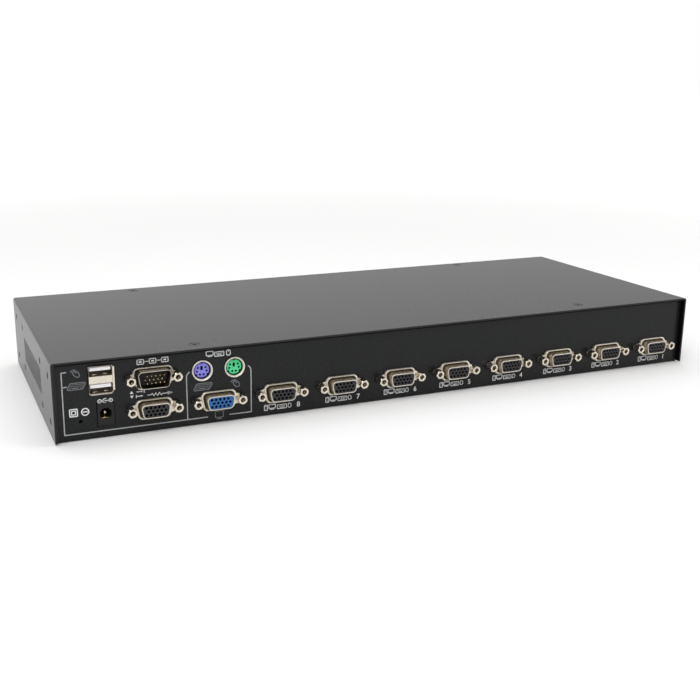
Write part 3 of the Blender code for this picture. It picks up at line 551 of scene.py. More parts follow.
def jackscrew_master(name):
    """Hexagonal standoff screw: chamfered hexagon, tapped bore with thread grooves, and the threaded shank."""
    n = 48
    ap = 2.42

    def ring(cap):
        return [(min(hex_radius(2 * math.pi * i / n, ap), cap) * math.cos(2 * math.pi * i / n), min(hex_radius(2 * math.pi * i / n, ap), cap) * math.sin(2 * math.pi * i / n)) for i in range(n)]

    rings = [(circle(0.3, n), 1.0), (circle(1.02, n), 1.3)]
    y = 1.6
    while y < 5.35:
        rings += [(circle(1.08, n), y), (circle(1.34, n), y + 0.16), (circle(1.34, n), y + 0.22), (circle(1.08, n), y + 0.38)]
        y += 0.5
    rings += [(circle(1.12, n), 5.60), (circle(1.36, n), 5.90), (circle(1.46, n), 6.0), (circle(2.22, n), 6.0)]
    rings += [(ring(2.40), 5.93), (ring(2.62), 5.72), (ring(2.9), 5.40), (ring(2.9), 1.50), (ring(2.62), 1.28), (ring(2.45), 1.16)]
    rings += [(circle(1.35, n), 1.16)]
    y = 1.0
    while y > -3.4:
        rings += [(circle(1.38, n), y), (circle(1.18, n), y - 0.2)]
        y -= 0.4
    rings += [(circle(1.0, n), y)]
    bm = bmesh.new()
    loft(bm, rings)
    o = raw(name, bm)
    finish_edges(o, 0.0, smooth=24)
    return o


def contact_sites(mirror=1.0):
    return [(mirror * ((k - 2) + sh) * 2.29, row * 1.98) for row, sh in ((1, 0.25), (0, -0.25), (-1, 0.25)) for k in range(5)]


def female_master(name):
    bm = bmesh.new()
    D = lambda w, h, r: d_outline(w, h, r, 6)
    loft(bm, [(D(15.0, 6.55, 1.75), -1.0), (D(15.0, 6.55, 1.75), 5.60), (D(14.8, 6.35, 1.65), 5.82), (D(14.4, 5.95, 1.55), 5.88)])
    o = raw(name, bm)
    bm = bmesh.new()
    for x, z in contact_sites():
        loft(bm, [(circle(0.74, 20), 0.2), (circle(0.74, 20), 5.80), (circle(0.79, 20), 5.885), (circle(0.80, 20), 6.5)], "Y", (x, 0, z))
    cut(o, bm)
    bm = bmesh.new()
    prism(bm, rounded(rect(19.0, 12.3, 0, -0.15), 0.6, 3), -12.0, -0.9)
    cut(o, bm, "UNION")
    finish_edges(o, 0.0, smooth=28)
    return o


def sleeve_contacts(name):
    """The fifteen split sleeves just inside the holes of a female insert."""
    bm = bmesh.new()
    for x, z in contact_sites():
        loft(bm, [(circle(0.60, 14), 0.3), (circle(0.60, 14), 2.4), (circle(0.48, 14), 2.52), (circle(0.36, 14), 2.4), (circle(0.36, 14), 0.3)], "Y", (x, 0, z), closed=True)
    o = raw(name, bm)
    finish_edges(o, 0.0, smooth=30)
    return o


def male_master(name):
    bm = bmesh.new()
    D = lambda w, h, r: d_outline(w, h, r, 6)
    loft(bm, [(D(16.9, 7.9, 1.7), -1.0), (D(16.9, 7.9, 1.7), 0.55), (D(16.6, 7.6, 1.6), 0.75)])
    o = raw(name, bm)
    bm = bmesh.new()
    prism(bm, rounded(rect(19.0, 12.3, 0, -0.15), 0.6, 3), -12.0, -0.9)
    cut(o, bm, "UNION")
    finish_edges(o, 0.0, smooth=28)
    return o


def male_pins(name):
    bm = bmesh.new()
    for x, z in contact_sites(-1.0):
        loft(bm, [(circle(0.40, 16), 0.5), (circle(0.40, 16), 4.9), (circle(0.36, 16), 5.2), (circle(0.24, 16), 5.42), (circle(0.08, 16), 5.5)], "Y", (x, 0, z))
    o = raw(name, bm)
    finish_edges(o, 0.0, smooth=40)
    return o


shell_m = shell_master("shell_master", 16.4, 7.95, 21.2, 11.1, 0.68)
male_shell_m = shell_master("male_shell_master", 18.7, 9.7, 22.6, 11.8, 0.45)
bm = bmesh.new()
for x in (-5.2, 0.0, 5.2):      # grip dimples pressed into the plug's top and bottom
    for z in (5.35, -5.35):
        bmesh.ops.create_uvsphere(bm, u_segments=20, v_segments=12, radius=0.95, matrix=Matrix.Translation((x, 3.7, z)))
cut(male_shell_m, bm)
finish_edges(male_shell_m, 0.0, smooth=34)
jack_m = jackscrew_master("jack_master")
jack_m.data.materials.append(jack_nickel)


def line_shell(o, tube_w, tube_h, wall, front=6.2, hollow=False):
    """Bright rims; painted shade on the drawn sides, as a darker, browner nickel; painted shade, near black, on the
    groove floor, and inside too where the shell is hollow.
    """
    o.data.materials.clear()
    for m in (shell_nickel, side_shade_nickel, groove_shade_nickel):
        o.data.materials.append(m)
    for f in o.data.polygons:
        c = f.center * 1000.0
        x, z = abs(c.x), abs(c.z)
        within = x < tube_w / 2 + 0.12 and z < tube_h / 2 + 0.12
        inside = x < tube_w / 2 - wall * 0.6 and z < tube_h / 2 - wall * 0.6
        f.material_index = 0
        if inside and hollow and c.y < front - 0.2:
            f.material_index = 2
        elif within and 0.6 < c.y < front - 0.4:
            f.material_index = 1
        elif c.y < 0.85 and x < tube_w / 2 + 1.04 and z < tube_h / 2 + 0.77 and abs(f.normal.y) > 0.25:
            f.material_index = 2


line_shell(shell_m, 16.4, 7.95, 0.68)
line_shell(male_shell_m, 18.7, 9.7, 0.45, hollow=True)
female_m = female_master("female_master")
sleeves_m = sleeve_contacts("sleeve_master")
sleeves_m.data.materials.append(gold)
blue_mesh = female_m.data.copy()
blue_mesh.materials.append(blue_ins)
female_m.data.materials.append(grey_ins)

turn = 0
for n in females + ["cascade_in"]:
    c = middle(n + "_shell")
    male = n == "cascade_in"
    y0 = PANEL
    sh = copy_at(male_shell_m if male else shell_m, n + "_drawn_shell", c.x, y0, c.z)
    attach(sh, ROOT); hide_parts(n + "_shell")
    for s, word in ((1, "left"), (-1, "right")):
        j = copy_at(jack_m, n + "_jackscrew_" + word, c.x + s * JACK, y0, c.z)
        turn += 1
        j.rotation_euler = (0, math.radians((turn * 37) % 60), 0)
        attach(j, ROOT)
    if male:
        core = male_master("cascade_in_moulding")
        core.location = (c.x * 0.001, y0 * 0.001, c.z * 0.001)
        dress(core, black_ins, node="cascade_in_insert")
        pins = male_pins("cascade_in_pins")
        pins.location = core.location
        dress(pins, gold)
    else:
        o = copy_at(female_m, n + "_moulding", c.x, y0, c.z)
        if n == "console_video":
            o.data = blue_mesh
        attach(o, ROOT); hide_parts(n + "_insert")
        o = copy_at(sleeves_m, n + "_contacts", c.x, y0, c.z)
        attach(o, ROOT)
for o in (shell_m, male_shell_m, jack_m, female_m, sleeves_m):
    bpy.data.objects.remove(o, do_unlink=True)

# ------------------------------------------------------------------ mini-DIN sockets
N = 72
bm = bmesh.new()
loft(bm, [(circle(5.78, N), 0.30), (circle(5.80, N), 0.85), (circle(5.77, N), 1.12), (circle(5.68, N), 1.28), (circle(5.54, N), 1.34), (circle(5.38, N), 1.28), (circle(5.10, N), 0.96),
          (circle(4.84, N), 0.50), (circle(4.76, N), 0.20), (circle(4.74, N), -0.2), (circle(4.72, N), -1.5), (circle(4.72, N), -5.8), (circle(5.38, N), -5.8), (circle(5.38, N), 0.28)], closed=True)
ring_m = raw("ring_master", bm)
finish_edges(ring_m, 0.0, smooth=40)
ring_m.data.materials.append(ring_nickel)


def core_outline(r):
    """Round core with three key notches."""
    pts = []
    for i in range(144):
        a = 2 * math.pi * i / 144
        q = r
        for k, w in ((90, 7.5), (-38, 8.5), (218, 8.5)):
            d = abs((math.degrees(a) - k + 180) % 360 - 180)
            if d < w:
                q = r - 0.62 * min(1.0, (w - d) / 2.0)
        pts.append((q * math.cos(a), q * math.sin(a)))
    return pts


bm = bmesh.new()
loft(bm, [(core_outline(4.24), -6.4), (core_outline(4.24), -0.72), (core_outline(4.17), -0.57), (core_outline(4.05), -0.50)])
core_m = raw("core_master", bm)
bm = bmesh.new()
for x, z in ((2.15, 1.4), (2.72, -0.55), (1.0, -2.5), (-1.0, -2.5), (-2.72, -0.55), (-2.15, 1.4)):
    loft(bm, [(circle(0.58, 18), -6.3), (circle(0.58, 18), -0.60), (circle(0.65, 18), -0.495), (circle(0.66, 18), 1.0)], "Y", (x, 0, z))
loft(bm, [(rect(1.3, 2.2, 0.1, 1.2), -6.3), (rect(1.3, 2.2, 0.1, 1.2), -0.60), (rect(1.4, 2.3, 0.1, 1.2), -0.495), (rect(1.42, 2.32, 0.1, 1.2), 1.0)])
cut(core_m, bm)
bm = bmesh.new()
prism(bm, rounded(rect(14.0, 13.6, 0, -0.3), 0.7, 3), -13.0, -6.2)
cut(core_m, bm, "UNION")
finish_edges(core_m, 0.0, smooth=30)
for n, mat, slot in (("keyboard_socket", purple, "purple_plastic"), ("mouse_socket", green, "green_plastic")):
    c = din[n]
    o = copy_at(ring_m, n + "_ring", c.x, PANEL, c.z)
    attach(o, ROOT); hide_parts(n + "_shield")
    o = copy_at(core_m, n + "_moulding", c.x, PANEL, c.z)
    o.data = core_m.data.copy()
    o.data.materials.append(mat)
    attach(o, ROOT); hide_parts(n + "_core")
for o in (ring_m, core_m):
    bpy.data.objects.remove(o, do_unlink=True)

# ------------------------------------------------------------------ double USB receptacle
ux, uz = usb_c.x, usb_c.z
PORT_DZ, PORT_H, PORT_W = 4.66, 5.2, 12.1
bm = bmesh.new()
loft(bm, [(rounded(rect(12.6, 15.1), 0.4, 3), -14.0), (rounded(rect(12.6, 15.1), 0.4, 3), 0.70), (rounded(rect(12.5, 15.0), 0.35, 3), 0.75)], at=(ux, PANEL, uz))
shell = raw("usb_metal_shell", bm)
bm = bmesh.new()
for s in (-1, 1):
    loft(bm, [(rounded(rect(PORT_W, PORT_H), 0.35, 3), -15.0), (rounded(rect(PORT_W, PORT_H), 0.35, 3), 0.60), (rounded(rect(PORT_W + 0.2, PORT_H + 0.3), 0.4, 3), 0.76), (rounded(rect(PORT_W + 0.2, PORT_H + 0.3), 0.4, 3), 2.0)], at=(ux, PANEL, uz + s * PORT_DZ))
cut(shell, bm)
# pressed rectangle in the plate between the two ports
bm = bmesh.new()
prism(bm, rounded(rect(11.2, 2.9, ux, uz), 0.4, 3), PANEL + 0.68, PANEL + 2)
cut(shell, bm)
bm = bmesh.new()
prism(bm, rounded(rect(10.7, 2.4, ux, uz), 0.3, 3), PANEL + 0.3, PANEL + 0.76)
cut(shell, bm, "UNION")
bm = bmesh.new()
prism(bm, rect(4.4, 0.35, ux - 0.8, uz + 0.05), PANEL + 0.66, PANEL + 2)
prism(bm, circle(0.55, 16, ux + 3.2, uz), PANEL + 0.66, PANEL + 2)
cut(shell, bm)
tidy(shell)
finish_edges(shell, 0.08, 2)
dress(shell, nickel, node="usb_shell")


def lip(bm, x0, x1, z0, z1, dx, dz, flare=1.0):
    """A flared lip bent out from the shell's mouth."""
    t = 0.28
    path = [(0.0, 0.2), (0.03, 0.80), (0.20 * flare, 1.12), (0.62 * flare, 1.42)]   # outwards, forwards
    b = [(o + t, f) for o, f in path[:2]] + [(path[2][0] + t * 0.9, path[2][1] - t * 0.45), (path[3][0] + t * 0.55, path[3][1] - t * 0.85)]
    row_in = [[bm.verts.new((x + dx * o, PANEL + f, z + dz * o)) for o, f in path] for x, z in ((x0, z0), (x1, z1))]
    row_out = [[bm.verts.new((x + dx * o, PANEL + f, z + dz * o)) for o, f in b] for x, z in ((x0, z0), (x1, z1))]
    faces = []
    for rows in (row_in, row_out):
        for i in range(3):
            faces.append(bm.faces.new((rows[0][i], rows[0][i + 1], rows[1][i + 1], rows[1][i])))
    for e in (0, 1):
        for i in range(3):
            faces.append(bm.faces.new((row_in[e][i], row_out[e][i], row_out[e][i + 1], row_in[e][i + 1])))
    for i in (0, 3):
        faces.append(bm.faces.new((row_in[0][i], row_in[1][i], row_out[1][i], row_out[0][i])))
    bmesh.ops.recalc_face_normals(bm, faces=faces)


bm = bmesh.new()
lip(bm, ux - 5.6, ux + 5.6, uz + 7.26, uz + 7.26, 0, 1, 0.55)
lip(bm, ux - 5.6, ux + 5.4, uz - 7.26, uz - 7.26, 0, -1, 1.05)
lip(bm, ux - 6.05, ux - 6.05, uz - 6.2, uz + 6.7, -1, 0, 1.6)
lip(bm, ux + 6.05, ux + 6.05, uz - 6.0, uz + 6.6, 1, 0, 0.12)
lips = raw("usb_flared_lips", bm)
finish_edges(lips, 0.05, 2, smooth=40)
# painted shade: the lips darken where they meet the panel
lip_nickel = surface("nickel_lip", (0.72, 0.66, 0.56), 0.30, metal=0.9, var=0.05, rough_var=0.02, grain=900, bump=0.02, depth=0.00001, blotch=200, depth_shade=((PANEL + 0.80) * 0.001, (PANEL + 1.05) * 0.001, 0.12))
dress(lips, lip_nickel)

bm = bmesh.new()
for s in (-1, 1):
    z = uz + s * PORT_DZ
    loft(bm, [(rounded(rect(11.0, 1.95, 0.1, 1.2), 0.15, 2), -14.4), (rounded(rect(11.0, 1.95, 0.1, 1.2), 0.15, 2), 0.05), (rounded(rect(10.7, 1.6, 0.1, 1.2), 0.15, 2), 0.30)], at=(ux, PANEL, z))
tongue = raw("usb_tongue_pair", bm)
bm = bmesh.new()
box(bm, ux - 6.4, ux + 6.4, PANEL - 17.0, PANEL - 14.3, uz - 7.6, uz + 7.6)
cut(tongue, bm, "UNION")
finish_edges(tongue, 0.0, smooth=30)
dress(tongue, cream, node="usb_tongues")
bm = bmesh.new()
for s in (-1, 1):
    z = uz + s * PORT_DZ + 0.22
    for k in range(4):
        x = ux + (-3.5, -1.0, 1.0, 3.5)[k]
        box(bm, x - 0.5, x + 0.5, PANEL - 12.0, PANEL - (1.2 if k in (0, 3) else 2.2), z - 0.18, z + 0.02)
        prism(bm, rect(1.0, 0.5, x, z - 0.25), PANEL - 4.6, PANEL - 3.2)
contacts = raw("usb_contacts", bm)
finish_edges(contacts, 0.05, 1, smooth=30)
dress(contacts, gold)
bm = bmesh.new()
for s in (-1, 1):
    z = uz + s * PORT_DZ
    for x in (-2.9, 2.9):
        prof = [(-11.0, -2.58), (-4.0, -2.50), (-2.4, -1.85), (-1.6, -1.75), (-0.9, -2.05), (-0.85, -2.22), (-1.6, -1.95), (-2.3, -2.05), (-3.9, -2.60)]
        prism(bm, [(PANEL + a, z + b) for a, b in prof], ux + x - 1.0, ux + x + 1.0, "X")
springs = raw("usb_spring_fingers", bm)
finish_edges(springs, 0.04, 1, smooth=40)
dress(springs, nickel)

# ------------------------------------------------------------------ power inlet
dlo, dhi = mm("power_inlet_body")
dx, dz = dc_c.x, dc_c.z
hole_z = dz + 0.4
bm = bmesh.new()
loft(bm, [(rounded(rect(9.0, 12.4, dx, dz), 0.35, 3), dlo.y), (rounded(rect(9.0, 12.4, dx, dz), 0.35, 3), dhi.y - 0.25), (rounded(rect(8.6, 12.0, dx, dz), 0.35, 3), dhi.y)])
jack = raw("power_inlet_housing", bm)
bm = bmesh.new()
loft(bm, [(circle(3.05, 48), PANEL - 9.8), (circle(3.05, 48), dhi.y - 0.30), (circle(3.35, 48), dhi.y + 0.005), (circle(3.5, 48), dhi.y + 2)], "Y", (dx, 0, hole_z))
cut(jack, bm)
bm = bmesh.new()
box(bm, dx - 1.9, dx + 1.9, PANEL - 8.8, PANEL + 0.2, hole_z - 3.6, hole_z - 2.2)
cut(jack, bm)
tidy(jack)
finish_edges(jack, 0.06, 2, smooth=34)
dress(jack, housing, node="power_inlet_body")
bm = bmesh.new()
loft(bm, [(circle(0.9, 28), PANEL - 9.9), (circle(1.0, 28), PANEL - 9.8), (circle(1.0, 28), PANEL - 2.6), (circle(0.93, 28), PANEL - 2.2), (circle(0.70, 28), PANEL - 1.9), (circle(0.40, 28), PANEL - 1.75), (circle(0.1, 28), PANEL - 1.7)], "Y", (dx, 0, hole_z))
pin = raw("power_inlet_centre_pin", bm)
finish_edges(pin, 0.0, smooth=60)
dress(pin, jack_nickel, node="power_inlet_pin")
bm = bmesh.new()
prof = [(-8.6, -3.05), (-5.5, -2.55), (-3.2, -2.0), (-2.0, -1.95), (-0.6, -2.55), (-0.5, -2.75), (-2.0, -2.2), (-3.2, -2.25), (-5.6, -2.8), (-8.6, -3.3)]
prism(bm, [(PANEL + a, hole_z + b) for a, b in prof], dx - 1.7, dx + 1.7, "X")
leaf = raw("power_inlet_spring", bm)
finish_edges(leaf, 0.06, 2, smooth=40)
dress(leaf, gold)

# ------------------------------------------------------------------ front bezel
bm = bmesh.new()
bw, bh = bezel_hi.x - bezel_lo.x, bezel_hi.z - bezel_lo.z
bz = (bezel_hi.z + bezel_lo.z) / 2
loft(bm, [(rounded(rect(bw, bh, 0, bz), 1.5, 6), bezel_hi.y), (rounded(rect(bw, bh, 0, bz), 1.5, 6), bezel_lo.y + 0.8), (rounded(rect(bw - 0.25, bh - 0.25, 0, bz), 1.4, 6), bezel_lo.y + 0.38),
          (rounded(rect(bw - 0.8, bh - 0.8, 0, bz), 1.2, 6), bezel_lo.y + 0.1), (rounded(rect(bw - 1.6, bh - 1.6, 0, bz), 0.9, 6), bezel_lo.y)])
bezel = raw("bezel_moulding", bm)
bm = bmesh.new()
for x in button_x:
    loft(bm, [(rounded(rect(18.6, 13.6, x, BUTTON_Z), 2.4, 5), bezel_lo.y - 1), (rounded(rect(18.6, 13.6, x, BUTTON_Z), 2.4, 5), bezel_lo.y + 0.25), (rounded(rect(17.9, 12.9, x, BUTTON_Z), 2.1, 5), bezel_lo.y + 0.6)])
cut(bezel, bm)
bm = bmesh.new()
for x in button_x:
    prism(bm, rounded(rect(14.7, 9.7, x, BUTTON_Z), 1.35, 5), bezel_lo.y - 3, bezel_hi.y + 3)
for x in button_x + [POWER_X]:
    prism(bm, rounded(rect(4.5, 2.5, x, LAMP_Z), 0.7, 4), bezel_lo.y - 3, bezel_hi.y + 3)
wx, wz = (window_lo.x + window_hi.x) / 2, (window_lo.z + window_hi.z) / 2
prism(bm, rounded(rect(34.6, 18.6, wx, wz), 1.3, 5), bezel_lo.y - 3, bezel_hi.y + 3)
cut(bezel, bm)
tidy(bezel, 0.2)
finish_edges(bezel, 0.14, 2, smooth=34)
dress(bezel, bezel_mat, node="front_bezel")

# display window with two seven-segment digits printed through it
bm = bmesh.new()
loft(bm, [(rounded(rect(34.0, 18.0, wx, wz), 1.0, 5), window_hi.y), (rounded(rect(34.0, 18.0, wx, wz), 1.0, 5), window_lo.y + 0.25), (rounded(rect(33.5, 17.5, wx, wz), 0.9, 5), window_lo.y)])
win = raw("display_window_plate", bm)
finish_edges(win, 0.0, smooth=50)
dress(win, window_mat, node="display_window")


def segment(bm, cx, cz, length, width, horizontal, y0, y1):
    h, w = length / 2, width / 2
    pts = [(-h, 0), (-h + w, w), (h - w, w), (h, 0), (h - w, -w), (-h + w, -w)]
    if not horizontal:
        pts = [(-q, p) for p, q in pts]
    prism(bm, [(cx + p, cz + q) for p, q in pts], y0, y1)


LIT = {"0": "abcdef", "1": "bc"}
for lit, mat, name in ((True, digit_on, "digits_lit"), (False, digit_off, "digits_unlit")):
    bm = bmesh.new()
    for k, ch in enumerate("01"):
        # seen from the front, +X is to the right
        cx = wx - 5.2 + 10.4 * k
        spots = {"a": (0, 5.4, True), "g": (0, 0, True), "d": (0, -5.4, True), "f": (-2.9, 2.7, False), "b": (2.9, 2.7, False), "e": (-2.9, -2.7, False), "c": (2.9, -2.7, False)}
        for s, (ox, oz, hor) in spots.items():
            if (s in LIT[ch]) == lit:
                segment(bm, cx + ox + oz * 0.08, wz + oz, 4.9, 1.15, hor, window_lo.y - 0.012, window_lo.y + 0.2)
        if not lit:
            prism(bm, circle(0.6, 14, cx + 4.1, wz - 5.5), window_lo.y - 0.012, window_lo.y + 0.2)
    o = raw(name, bm)
    finish_edges(o, 0.0)
    dress(o, mat)

# lamps
bm = bmesh.new()
for x in button_x[1:]:
    loft(bm, [(rounded(rect(4.0, 2.0, x, LAMP_Z), 0.6, 4), -77.0), (rounded(rect(4.0, 2.0, x, LAMP_Z), 0.6, 4), lamp_lo.y + 0.25), (rounded(rect(3.6, 1.6, x, LAMP_Z), 0.5, 4), lamp_lo.y + 0.05), (rounded(rect(2.6, 0.8, x, LAMP_Z), 0.3, 4), lamp_lo.y)])
box(bm, lamp_lo.x, lamp_hi.x, -78.3, -75.8, lamp_lo.z, lamp_hi.z)
o = raw("lamp_lenses", bm)
finish_edges(o, 0.0, smooth=40)
dress(o, lamp_mat, node="lamp_bar")
bm = bmesh.new()
for x in (button_x[0], POWER_X):
    loft(bm, [(rounded(rect(4.0, 2.0, x, LAMP_Z), 0.6, 4), -78.25), (rounded(rect(4.0, 2.0, x, LAMP_Z), 0.6, 4), lamp_lo.y + 0.25), (rounded(rect(3.6, 1.6, x, LAMP_Z), 0.5, 4), lamp_lo.y + 0.05), (rounded(rect(2.6, 0.8, x, LAMP_Z), 0.3, 4), lamp_lo.y)])
o = raw("lamp_lenses_lit", bm)
finish_edges(o, 0.0, smooth=40)
dress(o, lamp_lit)

# buttons: crowned caps, each on its own body
for n, x in zip(buttons, button_x):
    lo, hi = mm(n)
    f = lo.y
    Q = lambda w, h, r: rounded(rect(w, h, x, BUTTON_Z), r, 6)
    bm = bmesh.new()
    loft(bm, [(Q(17.0, 12.0, 0.5), -77.2), (Q(17.0, 12.0, 0.5), -78.2), (Q(16.8, 11.8, 0.5), -78.35), (Q(14.0, 9.0, 1.0), -78.35), (Q(14.0, 9.0, 1.0), f + 1.0), (Q(13.9, 8.9, 1.0), f + 0.6),
              (Q(13.5, 8.5, 0.95), f + 0.25), (Q(12.9, 7.9, 0.9), f + 0.06), (Q(12.2, 7.2, 0.8), f), (Q(10.5, 5.5, 0.8), f + 0.10), (Q(7.5, 2.8, 0.7), f + 0.17)])
    cap = raw(n + "_cap", bm)
    bm = bmesh.new()
    box(bm, x - 2, x + 2, -77.6, -73.8, BUTTON_Z - 2, BUTTON_Z + 2)
    cut(cap, bm, "UNION")
    finish_edges(cap, 0.0, smooth=45)
    dress(cap, button_mat, body=n, node=n)


# ------------------------------------------------------------------ printed legends
class Print:
    """Thin raised ink on a wall. s runs to the reader's right and t up; the ink stands 0.04 proud."""

    def __init__(self, name, mat, rear=True, weight=1.0):
        self.name, self.mat, self.rear, self.weight = name, mat, rear, weight
        self.bm = bmesh.new()
        self.y0, self.y1 = (PANEL - 0.02, PANEL + 0.045) if rear else (bezel_lo.y + 0.02, bezel_lo.y - 0.035)
        self.sign = -1 if rear else 1

    def shape(self, pts):
        prism(self.bm, [(self.sign * s, t) for s, t in pts], self.y0, self.y1)

    def stroke(self, pts, w=0.5, closed=False):
        n = len(pts)
        w *= self.weight
        left, rght = [], []
        for i, (x, y) in enumerate(pts):
            prv = pts[i - 1] if (i > 0 or closed) else None
            nxt = pts[(i + 1) % n] if (i < n - 1 or closed) else None
            d = []
            for a, b in ((prv, (x, y)), ((x, y), nxt)):
                if a is not None and b is not None:
                    L = math.hypot(b[0] - a[0], b[1] - a[1]) or 1.0
                    d.append(((b[0] - a[0]) / L, (b[1] - a[1]) / L))
            if len(d) == 2:
                tx, ty = d[0][0] + d[1][0], d[0][1] + d[1][1]
                L = math.hypot(tx, ty)
                tx, ty = (tx / L, ty / L) if L > 1e-6 else d[0]
                k = 1.0 / max(0.35, tx * d[0][0] + ty * d[0][1])
            else:
                tx, ty = d[0]
                k = 1.0
            left.append((x - ty * w / 2 * k, y + tx * w / 2 * k))
            rght.append((x + ty * w / 2 * k, y - tx * w / 2 * k))
        bm = self.bm
        V = lambda p, y: bm.verts.new((self.sign * p[0], y, p[1]))
        L0, L1 = [V(p, self.y0) for p in left], [V(p, self.y1) for p in left]
        R0, R1 = [V(p, self.y0) for p in rght], [V(p, self.y1) for p in rght]
        faces = []
        rng = range(n if closed else n - 1)
        for i in rng:
            j = (i + 1) % n
            for a, b in ((L0, R0), (R1, L1), (R0, R1), (L1, L0)):
                faces.append(bm.faces.new((a[i], a[j], b[j], b[i])))
        if not closed:
            for i in (0, n - 1):
                faces.append(bm.faces.new((L0[i], R0[i], R1[i], L1[i])))
        bmesh.ops.recalc_face_normals(bm, faces=faces)

    def text(self, word, s, t, size):
        """A numeral from the built-in font, centred at s, standing on t."""
        cu = bpy.data.curves.new("numeral", "FONT")
        cu.body, cu.size, cu.align_x, cu.resolution_u = word, 1.0, "CENTER", 6
        cu.offset = 0.012
        tmp = bpy.data.objects.new("numeral", cu)
        collection.objects.link(tmp)
        bpy.context.view_layer.update()
        me = bpy.data.meshes.new_from_object(tmp.evaluated_get(bpy.context.evaluated_depsgraph_get()))
        bpy.data.objects.remove(tmp, do_unlink=True)
        k = size / 0.72
        piece = bmesh.new()
        piece.from_mesh(me)
        bmesh.ops.remove_doubles(piece, verts=piece.verts, dist=1e-4)
        bmesh.ops.dissolve_limit(piece, angle_limit=math.radians(1), verts=piece.verts, edges=piece.edges)
        for v in piece.verts:
            v.co = Vector((self.sign * (s + v.co.x * k), self.y0, t + v.co.y * k))
        ext = bmesh.ops.extrude_face_region(piece, geom=piece.faces[:])
        for v in [g for g in ext["geom"] if isinstance(g, bmesh.types.BMVert)]:
            v.co.y = self.y1
        bmesh.ops.recalc_face_normals(piece, faces=piece.faces)
        tmp_me = bpy.data.meshes.new("n")
        piece.to_mesh(tmp_me)
        piece.free()
        self.bm.from_mesh(tmp_me)

    def done(self):
        o = raw(self.name, self.bm)
        finish_edges(o, 0.0)
        return dress(o, self.mat)


def arc2(cs, ct, r, a0, a1, n=10):
    return [(cs + r * math.cos(math.radians(a0 + (a1 - a0) * k / n)), ct + r * math.sin(math.radians(a0 + (a1 - a0) * k / n))) for k in range(n + 1)]


def monitor(p, s, t, w, h, lw):
    p.stroke(rounded(rect(w, h * 0.72, s, t + h * 0.14), min(w, h) * 0.1, 3), lw, closed=True)
    p.shape(rect(w * 0.22, h * 0.14, s, t - h * 0.28))
    p.shape(rect(w * 0.62, lw * 1.1, s, t - h * 0.40))


def keyboard(p, s, t, w, h, lw, lean=0.28):
    k = lambda a, b: (s + a + b * lean * 2, t + b)
    p.stroke(rounded([k(-w / 2, -h / 2), k(w / 2, -h / 2), k(w / 2, h / 2), k(-w / 2, h / 2)], h * 0.16, 3), lw, closed=True)
    rows, cols = 3, 9
    for i in range(rows):
        for j in range(cols):
            if i == 0 and 2 <= j <= 6:
                continue
            a = -w * 0.40 + w * 0.80 * j / (cols - 1)
            b = -h * 0.27 + h * 0.54 * i / (rows - 1)
            c = k(a, b)
            p.shape(rect(w * 0.062, h * 0.14, c[0], c[1]))
    c = k(0, -h * 0.27)
    p.shape(rect(w * 0.42, h * 0.13, c[0], c[1]))


def mouse(p, s, t, w, h, lw):
    """Mouse seen at a slant, with the start of its lead."""
    body = [(s + w * (0.10 + 0.40 * math.cos(a) * 0.9) , t + h * (-0.12 + 0.42 * math.sin(a) - 0.18 * math.cos(a))) for a in [2 * math.pi * i / 28 for i in range(28)]]
    p.stroke(body, lw, closed=True)
    p.stroke([(s - w * 0.10, t + h * 0.20), (s + w * 0.14, t - h * 0.02), (s + w * 0.30, t + h * 0.16)], lw * 0.8)
    p.stroke([(s - w * 0.24, t + h * 0.10), (s - w * 0.40, t + h * 0.16), (s - w * 0.50, t + h * 0.30), (s - w * 0.34, t + h * 0.44), (s - w * 0.12, t + h * 0.46), (s + w * 0.04, t + h * 0.50)], lw * 0.9)


def tower(p, s, t, w, h, lw):
    p.stroke(rounded(rect(w, h, s, t), 0.2, 2), lw, closed=True)
    p.shape(rect(w * 0.5, lw, s, t + h * 0.24))
    p.shape(circle(lw * 0.7, 10, s, t - h * 0.22))


def small_keys(p, s, t, w, h, lw):
    p.stroke(rounded(rect(w, h, s, t), 0.2, 2), lw, closed=True)
    for j in range(4):
        p.shape(rect(w * 0.11, h * 0.2, s - w * 0.30 + w * 0.2 * j, t + h * 0.14))
    p.shape(rect(w * 0.5, h * 0.16, s, t - h * 0.2))


# bracket lines round the two socket groups
lines = Print("legend_bracket_lines", ink)
LW = 0.55
lines.stroke([(-197.3, 38.2), (-199.9, 38.1), (-200.1, 4.2), (-122.9, 4.1)], LW)
lines.stroke([(-200.0, 30.2), (-197.4, 30.3)], LW)
cx = 134.3
lines.stroke([(-cx, 4.2), (-cx, 28.0)] + arc2(-cx + 3.4, 28.0, 3.4, 180, 118, 6)[1:], LW)
lines.stroke([(-110.7, 4.0), (-97.8, 3.9), (-97.6, 28.0)] + arc2(-97.6 - 3.4, 28.0, 3.4, 0, 62, 6)[1:], LW)
lines.done()

icons = Print("legend_grey_icons", ink_grey, weight=1.12)
mouse(icons, -192.8, 37.3, 4.6, 3.9, 0.38)
keyboard(icons, -192.6, 30.2, 8.2, 3.6, 0.36)
keyboard(icons, -125.2, 21.9, 9.0, 3.8, 0.38)
mouse(icons, -106.7, 21.9, 5.0, 4.0, 0.40)
monitor(icons, -116.4, 4.3, 4.6, 5.0, 0.42)
icons.done()

white = Print("legend_symbols", ink_white, weight=1.22)
# three linked boxes above the cascade pair
for k in range(3):
    s = -158.9 + 6.6 * k
    white.stroke(rounded(rect(3.5, 2.5, s, 39.6), 0.35, 3), 0.36, closed=True)
    white.shape(rect(1.5, 0.9, s, 39.6))
    if k < 2:
        white.shape(rect(3.1, 0.36, s + 3.3, 39.6))
